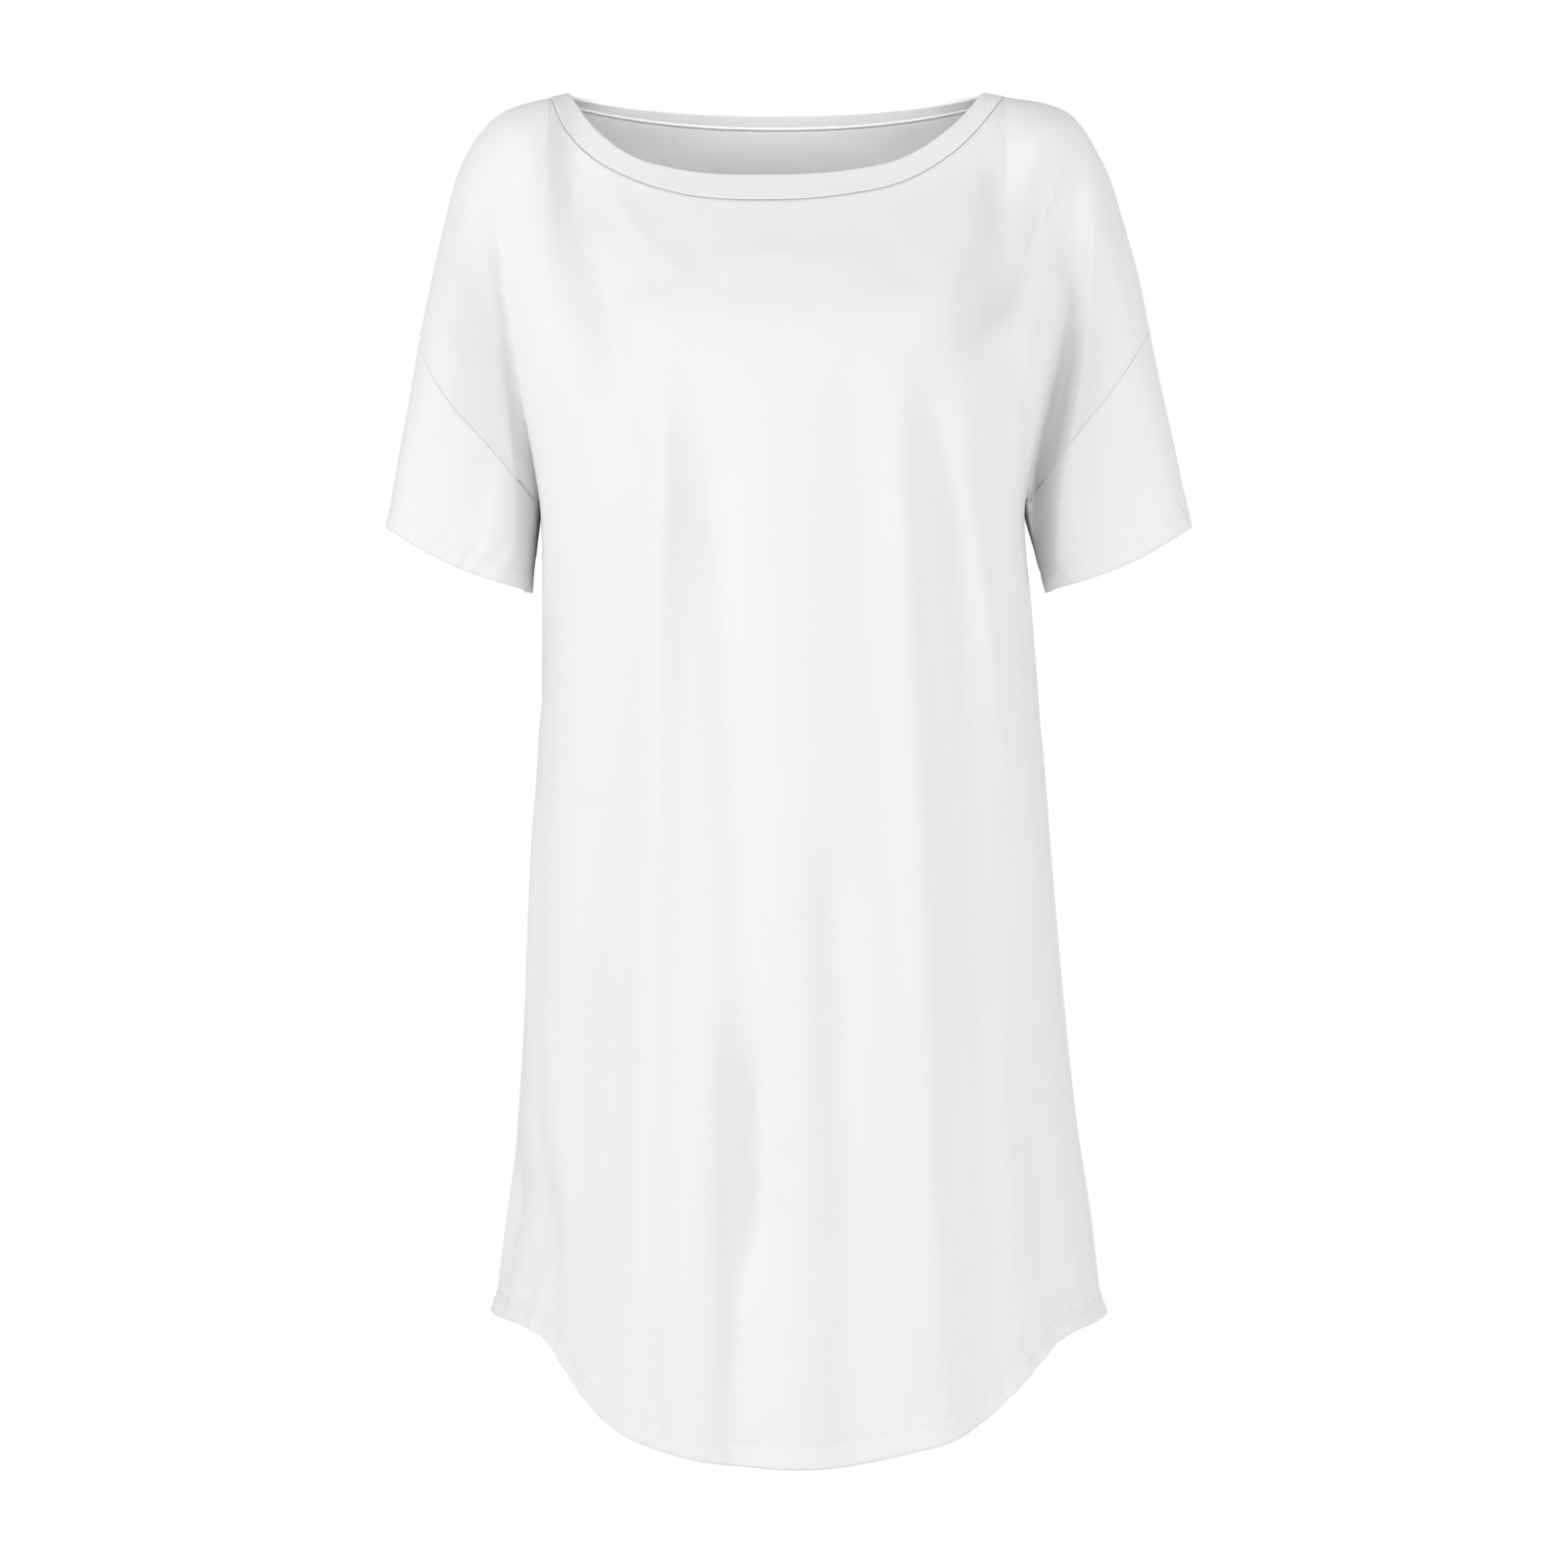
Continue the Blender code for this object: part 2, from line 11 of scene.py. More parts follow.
import bmesh
import bpy
import mathutils
import numpy as np
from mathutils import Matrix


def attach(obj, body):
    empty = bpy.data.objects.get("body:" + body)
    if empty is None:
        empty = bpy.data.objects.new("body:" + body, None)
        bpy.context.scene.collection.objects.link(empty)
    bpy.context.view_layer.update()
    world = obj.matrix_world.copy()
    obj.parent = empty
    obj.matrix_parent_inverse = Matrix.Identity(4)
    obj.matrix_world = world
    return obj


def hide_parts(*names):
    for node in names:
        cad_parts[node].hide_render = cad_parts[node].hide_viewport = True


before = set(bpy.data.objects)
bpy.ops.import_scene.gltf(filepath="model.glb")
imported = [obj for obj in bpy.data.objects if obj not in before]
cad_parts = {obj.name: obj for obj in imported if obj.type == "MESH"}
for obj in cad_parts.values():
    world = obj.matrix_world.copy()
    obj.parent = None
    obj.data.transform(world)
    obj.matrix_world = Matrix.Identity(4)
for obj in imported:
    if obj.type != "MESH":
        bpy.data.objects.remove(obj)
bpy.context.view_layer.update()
MM = 0.001
print("pieces of cloth:", ", ".join(sorted(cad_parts)))

# %% [markdown]
# ## The camera
#
# A whole garment is best seen from far away through a long lens, because its shoulders and its hem
# then keep their true proportions. A lens can be chosen by feel, but it is easier to say how much of
# the plane of the side seams the camera takes in, and to work the focal length out from that and from
# the distance.

# %% Place the camera in front of the dress
VIEW_DISTANCE = 3.2        # metres from the plane of the side seams
VIEW_WIDTH = 1.024         # metres of that plane from side to side of the square view
VIEW_CENTRE = (0.0054, -0.45)    # x and z of the place that the camera faces

camera_data = bpy.data.cameras.new("camera")
camera_data.sensor_width = 36.0
camera_data.lens = camera_data.sensor_width * VIEW_DISTANCE / VIEW_WIDTH
camera = bpy.data.objects.new("camera", camera_data)
camera.location = (VIEW_CENTRE[0], -VIEW_DISTANCE, VIEW_CENTRE[1])
camera.rotation_euler = (np.pi / 2.0, 0.0, 0.0)
bpy.context.scene.collection.objects.link(camera)
bpy.context.scene.camera = camera
print(f"focal length: {camera_data.lens:.1f} mm")

# %% [markdown]
# ## Smooth curves through a few sizes
#
# A dressmaker writes down a garment as a short list of measurements: so wide at the chest, so wide at
# the hem. The same works here. A table holds one row for each height, and a smooth curve runs through
# its values. Blender has curve objects for this, but a small function that returns numbers is easier
# to reuse for widths, depths, seams and hems alike.

# %% Curves, steps and round rims
def smooth(at, knots, values):
    """A smooth curve through (knots, values), by cubic Hermite pieces."""
    step = np.diff(knots)
    rise = np.diff(values) / step
    between = (rise[:-1] * step[1:] + rise[1:] * step[:-1]) / (step[:-1] + step[1:])
    slope = np.concatenate([rise[:1], between, rise[-1:]])
    piece = np.clip(np.searchsorted(knots, at, side="right") - 1, 0, len(step) - 1)
    t = (at - knots[piece]) / step[piece]
    bend_in = (t - 1.0) ** 2 * t * slope[piece] * step[piece]
    bend_out = t**2 * (t - 1.0) * slope[piece + 1] * step[piece]
    ease = t * t * (3.0 - 2.0 * t)
    return values[piece] * (1.0 - ease) + values[piece + 1] * ease + bend_in + bend_out


def table(columns, rows):
    """The named columns of a table as arrays."""
    return dict(zip(columns, np.array(rows, float).T))


def spline(points, share):
    """Places at these shares of the length of a smooth curve through the given ones."""
    points = np.array(points)
    length = np.concatenate([[0.0], np.cumsum(np.hypot(*np.diff(points, axis=0).T))])
    return np.stack([smooth(share * length[-1], length, values) for values in points.T], axis=-1)


def smoothstep(t):
    """Runs 0 to 1, slow at both ends, and stays there past them."""
    t = np.clip(t, 0.0, 1.0)
    return t * t * (3.0 - 2.0 * t)


def eased(t):
    """Runs 0 to 1, slow at both ends."""
    return (1.0 - np.cos(np.pi * t)) / 2.0


def round_off(t, square):
    """Height of a rim of radius 1 at the distance t in from its edge; square 2 is a circle."""
    return (1.0 - (1.0 - np.clip(t, 0.0, 1.0)) ** square) ** (1.0 / square)


two_ends = np.array([0.0, 1.0])
print("halfway along a curve from 0 to 1:", float(smooth(0.5, two_ends, two_ends)))

# %% [markdown]
# ## The worn form
#
# A worn dress is a hollow skin. Its shape could be sculpted, or simulated over a figure. A table of
# sections is plainer and can be checked against a tape measure: for each height it gives where the
# sides are and how far the front and the back stand out from the plane of the side seams. Lengths are
# millimetres, heights are measured from the shoulders down, and left and right are the viewer's.

# %% Sections of the body and of the arms
# square is the exponent of the section: 2 is an ellipse, and more is flatter in front and behind.
BODY_COLUMNS = ("z", "left", "right", "front", "back", "square")
BODY = (
    (-920.0, -203.0, 232.0, 152.0, 138.0, 2.25),
    (-800.0, -184.6, 214.0, 145.0, 130.0, 2.25),
    (-740.0, -175.0, 205.1, 141.0, 126.0, 2.25),
    (-640.0, -166.0, 192.8, 134.0, 120.0, 2.25),
    (-540.0, -161.0, 183.4, 128.0, 114.0, 2.3),
    (-440.0, -155.5, 175.2, 124.0, 107.0, 2.45),
    (-340.0, -151.8, 166.8, 122.0, 105.0, 2.75),
    (-270.0, -153.3, 162.0, 123.0, 111.0, 2.9),
    (-210.0, -162.0, 171.5, 121.0, 117.0, 2.9),
    (-180.0, -166.8, 177.1, 118.0, 117.3, 2.85),
    (-154.0, -171.0, 182.0, 112.0, 116.0, 2.8),
    (-128.0, -175.2, 186.5, 98.0, 112.8, 2.65),
    (-100.0, -179.0, 190.0, 79.0, 108.0, 2.5),
    (-60.0, -184.0, 194.0, 54.0, 96.0, 2.3),
    (-30.0, -188.0, 197.0, 43.0, 79.0, 2.3),
    (0.0, -190.0, 199.0, 33.0, 57.0, 2.3),
    (40.0, -190.0, 199.0, 24.0, 36.0, 2.3),
)

# left and right are the inner lines of the arms, round is the radius of their rims, and square is
# the exponent of the rim. onset is 1 where an arm is round from its inner line on, and 2 where it
# rises softly from the chest.
ARM_COLUMNS = ("z", "left", "right", "front", "back", "round", "onset", "square")
ARM = (
    (-920.0, -262.0, 300.0, 50.0, 52.0, 50.0, 1.0, 4.0),
    (-325.0, -160.3, 177.0, 50.0, 52.0, 50.0, 1.0, 4.0),
    (-270.0, -153.3, 162.0, 49.0, 52.0, 49.4, 1.0, 4.0),
    (-210.0, -149.0, 158.0, 48.0, 52.0, 47.5, 1.1, 3.6),
    (-154.0, -141.0, 149.0, 47.0, 53.0, 45.5, 1.5, 3.0),
    (-60.0, -127.0, 131.0, 46.0, 53.0, 43.0, 2.0, 2.2),
    (0.0, -119.5, 123.0, 42.0, 48.0, 43.0, 2.0, 2.0),
    (40.0, -114.0, 118.0, 40.0, 44.0, 43.0, 2.0, 2.0),
)
BLEND = 2.4             # how tightly body and arm run into each other: more is a sharper crease

BODY_AT = table(BODY_COLUMNS, BODY)
ARM_AT = table(ARM_COLUMNS, ARM)


def body(column, z):
    """One column of the body's table at a height."""
    return smooth(z, BODY_AT["z"], BODY_AT[column])


def arm(column, z):
    """One column of the arms' table at a height."""
    return smooth(z, ARM_AT["z"], ARM_AT[column])


for height, name in ((-270.0, "underarm"), (-800.0, "hem")):
    print(f"{name}: {float(body('right', height) - body('left', height)):.0f} mm wide,",
          f"{float(body('front', height) + body('back', height)):.0f} mm deep")

# %% [markdown]
# ## The outer line
#
# Seen from the front, one line runs up the left sleeve, over the shoulder, across the neck and down
# the right sleeve. The cloth turns from front to back along it. It could be drawn as a Bezier curve;
# here it is a table of places (x, z), because the next cells need the distance from any point to it.

# %% Line of the sleeves and shoulders
OUTLINE = (
    (-262.5, -340.0),
    (-252.8, -284.0),
    (-244.8, -235.5),
    (-237.8, -197.0),
    (-230.8, -155.0),
    (-223.7, -120.0),
    (-215.4, -82.0),
    (-207.7, -53.0),
    (-198.7, -34.0),
    (-185.9, -18.0),
    (-178.4, -12.0),
    (-169.9, -8.3),
    (-147.0, -2.2),
    (-135.0, 0.6),
    (-100.0, 11.0),
    (-50.0, 23.0),
    (0.0, 28.0),
    (50.0, 23.0),
    (100.0, 11.0),
    (135.0, 1.0),
    (149.5, -1.8),
    (182.7, -8.3),
    (191.0, -12.0),
    (197.2, -18.0),
    (207.7, -34.0),
    (217.3, -53.0),
    (226.2, -82.0),
    (236.5, -120.0),
    (243.4, -155.0),
    (251.8, -197.0),
    (260.2, -235.5),
    (269.8, -284.0),
    (281.0, -340.0),
)
OUTLINE_STEPS = 240
OUTER = spline(OUTLINE, np.linspace(0.0, 1.0, OUTLINE_STEPS + 1))
PEAK = int(np.argmax(OUTER[:, 1]))


def outer_x(z, side):
    """The outer line of the arm at a height; side is -1 for the left and 1 for the right."""
    if side < 0:
        return np.interp(z, OUTER[:PEAK, 1], OUTER[:PEAK, 0])
    return np.interp(z, OUTER[:PEAK:-1, 1], OUTER[:PEAK:-1, 0])


def outer_z(x):
    """The height of the outer line at an x."""
    return np.interp(x, OUTER[:, 0], OUTER[:, 1])


def inside_outline(x, z):
    """Distance from (x, z) to the outer line, or 0 past it."""
    start = OUTER[:-1]
    run = np.diff(OUTER, axis=0)
    gap = np.empty(x.shape)
    for i in range(len(x)):
        to_x = x[i][..., None] - start[:, 0]
        to_z = z[i][..., None] - start[:, 1]
        share = np.clip((to_x * run[:, 0] + to_z * run[:, 1]) / (run**2).sum(axis=1), 0.0, 1.0)
        apart = (to_x - share * run[:, 0]) ** 2 + (to_z - share * run[:, 1]) ** 2
        gap[i] = np.sqrt(apart.min(axis=-1))
    return np.where(z > outer_z(x), 0.0, gap)


print(f"sleeve to sleeve: {float(outer_x(-284.0, 1) - outer_x(-284.0, -1)):.0f} mm")

# %% [markdown]
# ## Long folds
#
# Jersey hangs from the bust and the shoulder blades in long soft folds that widen towards the hem. A
# cloth simulation would find folds of its own, but not these ones. So each fold is a row of a table:
# where it runs, how high it stands or how deep it lies, and how wide it is. A bell curve across the
# line makes a soft ridge or trough, and its ends fade out.

# %% Table of the long folds
FOLD_COLUMNS = ("x_top", "x_mid", "x_low", "z_top", "z_low", "height", "width")
FOLDS_FRONT = (
    (-70.0, -81.0, -94.0, -150.0, -1000.0, 9.0, 12.0),
    (-104.0, -108.0, -124.0, -230.0, -1000.0, -5.0, 13.0),
    (-46.0, -16.0, -26.0, -180.0, -1000.0, -10.0, 16.0),
    (6.0, 8.0, 10.0, -140.0, -760.0, 6.0, 38.0),
    (74.0, 98.0, 114.0, -150.0, -1000.0, 9.0, 15.0),
    (101.0, 120.0, 131.0, -170.0, -1000.0, -7.5, 14.0),
    (116.0, 142.0, 168.0, -180.0, -560.0, 6.0, 14.0),
    (34.0, 46.0, 56.0, -460.0, -1000.0, -7.0, 15.0),
    (-140.0, -150.0, -160.0, -480.0, -1000.0, 4.0, 16.0),
    (140.0, 150.0, 158.0, -560.0, -1000.0, 5.0, 15.0),
)
FOLDS_BACK = (
    (-95.0, -100.0, -118.0, -210.0, -1000.0, 8.0, 18.0),
    (-60.0, -58.0, -70.0, -230.0, -1000.0, -8.0, 18.0),
    (-12.0, -20.0, -26.0, -170.0, -1000.0, 7.0, 20.0),
    (28.0, 22.0, 20.0, -250.0, -1000.0, -8.0, 18.0),
    (66.0, 64.0, 72.0, -200.0, -1000.0, 8.0, 17.0),
    (104.0, 106.0, 114.0, -260.0, -1000.0, -9.0, 14.0),
    (136.0, 146.0, 164.0, -330.0, -1000.0, 10.0, 12.0),
    (-130.0, -138.0, -150.0, -420.0, -1000.0, -5.0, 15.0),
)
FOLDS = {"front": FOLDS_FRONT, "back": FOLDS_BACK}
FOLD_FADE = 0.16        # share of a fold's length over which it rises at either end
FOLD_SPREAD = 0.5       # how much wider a fold is at its foot than at its top
FOLD_FOOT = 60.0        # folds die out where the form is shallower than this


def fold_relief(x, z, face):
    """Height of the long folds above the plain form."""
    relief = np.zeros_like(x)
    for row in FOLDS[face]:
        fold = dict(zip(FOLD_COLUMNS, row))
        down = (fold["z_top"] - z) / (fold["z_top"] - fold["z_low"])
        bow = 2.0 * (2.0 * fold["x_mid"] - fold["x_top"] - fold["x_low"])
        line = fold["x_top"] + (fold["x_low"] - fold["x_top"]) * down + bow * down * (1.0 - down)
        ends = smoothstep(down / FOLD_FADE) * smoothstep((1.0 - down) / FOLD_FADE)
        width = fold["width"] * (1.0 + FOLD_SPREAD * np.clip(down, 0.0, 1.0))
        relief += fold["height"] * ends * np.exp(-(((x - line) / width) ** 2))
    return relief


print("long folds:", {face: len(rows) for face, rows in FOLDS.items()})

# %% [markdown]
# ## Tucks beside the arms
#
# Where an arm hangs close to the body, the cloth between them is drawn in. The deepest crease of the
# whole dress is this tuck: a valley with a soft side on the body and a sharp fold on the arm. Its
# edges could be cut into the mesh, but a table is easier to smooth out. For each height it says where
# the floor of the valley and the sharp fold run, and what share of the arm's depth goes at the floor.

# %% Table of the tucks
TUCK_COLUMNS = ("z", "left_floor", "left_fold", "left_share", "right_floor", "right_fold", "right_share")
TUCKS = (
    (-330.0, -159.5, -163.5, 0.18, 173.0, 180.5, 0.56),
    (-317.0, -157.0, -164.0, 0.20, 171.0, 180.0, 0.58),
    (-292.0, -153.5, -166.0, 0.24, 168.5, 180.5, 0.60),
    (-262.0, -152.0, -167.0, 0.27, 169.5, 182.0, 0.54),
    (-242.0, -155.0, -168.5, 0.24, 171.5, 185.0, 0.44),
    (-226.0, -158.5, -170.0, 0.16, 174.5, 189.0, 0.40),
    (-205.0, -162.0, -172.5, 0.09, 178.5, 193.0, 0.36),
    (-180.0, -165.0, -176.0, 0.07, 184.0, 197.0, 0.27),
    (-140.0, -169.0, -181.0, 0.05, 188.0, 203.0, 0.15),
    (-82.0, -178.0, -192.0, 0.04, 192.0, 207.0, 0.07),
    (-30.0, -188.0, -200.0, 0.0, 200.0, 212.0, 0.0),
)
TUCK_SOFT = 4.5         # softness of the side of a tuck that belongs to the body
TUCK_TURN = 2.0         # 1 is a flat side up to the fold, more is steeper towards the fold
TUCK_BACK = 0.6         # strength of the same tucks on the back
TUCK_AT = table(TUCK_COLUMNS, TUCKS)


def tuck(x, z, face):
    """The share of the depth that the tucks beside the arms take away."""
    at = {name: np.interp(z, TUCK_AT["z"], values) for name, values in TUCK_AT.items()}
    cut = np.zeros_like(x)
    for side, name in ((-1, "left"), (1, "right")):
        floor = at[name + "_floor"]
        into_arm = side * (x - floor)
        width = side * (at[name + "_fold"] - floor)
        arm_side = 1.0 - np.clip(into_arm / width, 0.0, 1.0) ** TUCK_TURN
        body_side = np.exp(-((into_arm / TUCK_SOFT) ** 2))
        cut += at[name + "_share"] * np.where(into_arm > 0.0, arm_side, body_side)
    return cut * (1.0 if face == "front" else TUCK_BACK)


print("share of the arm's depth that the tucks take at the most:",
      {side: float(TUCK_AT[side + "_share"].max()) for side in ("left", "right")})

# %% [markdown]
# ## One function for the whole skin
#
# Now any place (x, z) in the plane of the side seams gets its depth: the tucks are taken out of the
# arm's section, the body's section and the arm's are blended, the folds are laid on top, and the rim
# along the outer line is rounded off. The front and the back read the same function with their own
# columns, so they meet at the sides.

# %% Depth and outward direction of the cloth
NUDGE = 0.05            # millimetres between the two sides of a slope
FLAT_SLOPE = 1e-6       # a slope under this has no direction of its own


def depth(x, z, face):
    """How far the cloth stands from the plane of the side seams, on its front or its back."""
    left = body("left", z)
    right = body("right", z)
    across = np.clip(np.abs(2.0 * x - left - right) / (right - left), 0.0, 1.0)
    flatness = body("square", z)
    trunk = body(face, z) * (1.0 - across**flatness) ** (1.0 / flatness)
    past_inner = np.where(2.0 * x < left + right, arm("left", z) - x, x - arm("right", z))
    square = arm("square", z)
    limb = arm(face, z) * round_off(past_inner / arm("round", z), square) ** arm("onset", z)
    limb = limb * (1.0 - tuck(x, z, face))
    both = (trunk**BLEND + limb**BLEND) ** (1.0 / BLEND)
    both = both + fold_relief(x, z, face) * smoothstep(both / FOLD_FOOT)
    return both * round_off(inside_outline(x, z) / arm("round", z), square)


def on_form(flat, face):
    """The points of the skin over a grid of places (x, z), and its outward directions there."""
    x, z = flat[..., 0], flat[..., 1]
    sign = -1.0 if face == "front" else 1.0
    deep = depth(x, z, face)
    slope_x = depth(x + NUDGE, z, face) ** 2 - depth(x - NUDGE, z, face) ** 2
    slope_z = depth(x, z + NUDGE, face) ** 2 - depth(x, z - NUDGE, face) ** 2
    normal = np.stack([-slope_x, sign * 4.0 * NUDGE * deep, -slope_z], axis=-1)
    length = np.linalg.norm(normal, axis=-1, keepdims=True)
    normal = np.where(length > FLAT_SLOPE, normal / np.maximum(length, FLAT_SLOPE), (0.0, 0.0, -1.0))
    return np.stack([x, sign * deep, z], axis=-1), normal


middle = np.array([[[0.0, -400.0]]])
print(f"depth at the waist: {-on_form(middle, 'front')[0][0, 0, 1]:.0f} mm in front,",
      f"{on_form(middle, 'back')[0][0, 0, 1]:.0f} mm behind")

# %% [markdown]
# ## Seams and hems as lines
#
# The pieces of cloth meet at the neck seam, the armholes and the side seams. Each line is a short
# table again. The hem is given by its place across the body, from the left side seam (-1) to the
# right one (1), which makes the long curved tails of a shirt hem in front and behind.

# %% Where the seams and the hems run
UNDERARM_Z = -270.0     # the sleeves leave the body here
TIP_Z = -155.0          # the armhole seam crosses the outer line of the arm here
CUFF_OUTER_Z = -284.0
CUFF_INNER_Z = -325.0
CUFF_RISE = 9.0         # the back of a cuff is this much higher than its front
CUFF_DROP = 5.5         # how far the front of a cuff sags below its ends

NECK_EDGE_FRONT = (
    (-135.0, 0.6),
    (-116.3, -26.5),
    (-90.7, -46.0),
    (-62.0, -54.5),
    (0.0, -58.3),
    (44.5, -55.4),
    (83.8, -45.7),
    (104.8, -32.3),
    (121.6, -16.4),
    (135.0, 1.0),
)
NECK_SEAM_FRONT = (
    (-147.0, -2.2),
    (-136.7, -26.0),
    (-119.9, -44.9),
    (-92.9, -60.8),
    (-60.0, -71.8),
    (-5.0, -76.2),
    (40.0, -73.0),
    (83.5, -62.5),
    (104.0, -51.0),
    (123.0, -35.4),
    (137.0, -19.0),
    (149.5, -1.8),
)
NECK_DROP_BACK = 5.0    # depth of the back neck edge below the shoulders
SEAM_DROP_BACK = 11.0   # the same for the seam below it
ARMHOLE = {
    -1: ((-230.8, -155.0), (-225.5, -178.0), (-210.8, -203.0), (-184.0, -233.0), (-153.3, -270.0)),
    1: ((243.4, -155.0), (233.0, -172.0), (217.5, -196.0), (194.8, -224.0), (162.0, -270.0)),
}
HEM_COLUMNS = ("across", "z")
HEM = (
    (-1.0, -793.5),
    (-0.93, -794.2),
    (-0.86, -798.5),
    (-0.80, -805.0),
    (-0.735, -818.5),
    (-0.665, -835.5),
    (-0.585, -849.5),
    (-0.50, -859.0),
    (-0.36, -869.5),
    (-0.16, -876.5),
    (0.0, -877.5),
    (0.16, -875.5),
    (0.34, -867.0),
    (0.47, -859.5),
    (0.565, -849.0),
    (0.65, -835.0),
    (0.735, -818.5),
    (0.81, -805.0),
    (0.875, -799.0),
    (0.94, -796.2),
    (1.0, -794.0),
)
HEM_AT = table(HEM_COLUMNS, HEM)


def neck_line(face, which, share):
    """The neck edge or the neck seam, from the left shoulder to the right."""
    front = {"edge": NECK_EDGE_FRONT, "seam": NECK_SEAM_FRONT}[which]
    if face == "front":
        line = spline(front, share)
    else:
        start, end = np.array(front[0]), np.array(front[-1])
        drop = {"edge": NECK_DROP_BACK, "seam": SEAM_DROP_BACK}[which]
        line = start + (end - start) * share[:, None]
        line[:, 1] -= drop * 4.0 * share * (1.0 - share)
    line[[0, -1], 1] = outer_z(line[[0, -1], 0])
    return line


def armhole(side, share):
    """The armhole seam from the outer line of the arm to the underarm."""
    return spline(ARMHOLE[side], share)


def body_x(u, z):
    """The x of a column of the body at a height, spaced evenly round its section."""
    left = body("left", z)
    right = body("right", z)
    return (left + right) / 2.0 + (right - left) / 2.0 * np.sin(np.pi * u / 2.0)


neck_edge = neck_line("front", "edge", np.linspace(0.0, 1.0, 60))
neck_length = np.linalg.norm(np.diff(neck_edge, axis=0), axis=1).sum()
print(f"front neck edge seen from the front: {neck_length:.0f} mm long")

# %% [markdown]
# ## Creases
#
# Between the long folds, worn jersey is full of short soft creases: drag lines from the neck, a soft
# shelf over the bust, slanting valleys from the shoulders, dents in the skirt. A cloth simulation
# would scatter them at random, so they are laid one by one, like strokes of a brush. A stroke has two
# ends, a bow, a height (negative for a trough) and its own softness on either side, because most real
# creases are steep on one side and fade out on the other.

# %% How one crease is laid
CREASE_COLUMNS = ("x0", "z0", "x1", "z1", "bow", "height", "right", "left", "fade")


def crease_relief(x, z, rows):
    """Height of the creases at places (x, z). A bow is to the right of the way from end 0 to end 1."""
    relief = np.zeros_like(x)
    for row in rows:
        crease = dict(zip(CREASE_COLUMNS, row))
        along_x, along_z = crease["x1"] - crease["x0"], crease["z1"] - crease["z0"]
        length = np.hypot(along_x, along_z)
        along_x, along_z = along_x / length, along_z / length
        t = ((x - crease["x0"]) * along_x + (z - crease["z0"]) * along_z) / length
        aside = (x - crease["x0"]) * along_z - (z - crease["z0"]) * along_x
        inside = np.clip(t, 0.0, 1.0)
        aside = aside - crease["bow"] * 4.0 * inside * (1.0 - inside)
        width = np.where(aside > 0.0, crease["right"], crease["left"])
        ends = smoothstep(t / crease["fade"]) * smoothstep((1.0 - t) / crease["fade"])
        relief += crease["height"] * ends * np.exp(-((aside / width) ** 2))
    return relief


one_crease = ((0.0, 0.0, 0.0, -100.0, 0.0, 2.0, 5.0, 10.0, 0.3),)
print("height across one crease:",
      np.round(crease_relief(np.array([-10.0, -5.0, 0.0, 5.0, 10.0]), np.full(5, -50.0), one_crease), 2))

# %% [markdown]
# ## The creases of the front
#
# Each row is one crease that a maker would point at. Going down a dress, right and left change sides
# with the way a crease runs: a stroke drawn downwards has its right side at the smaller x.

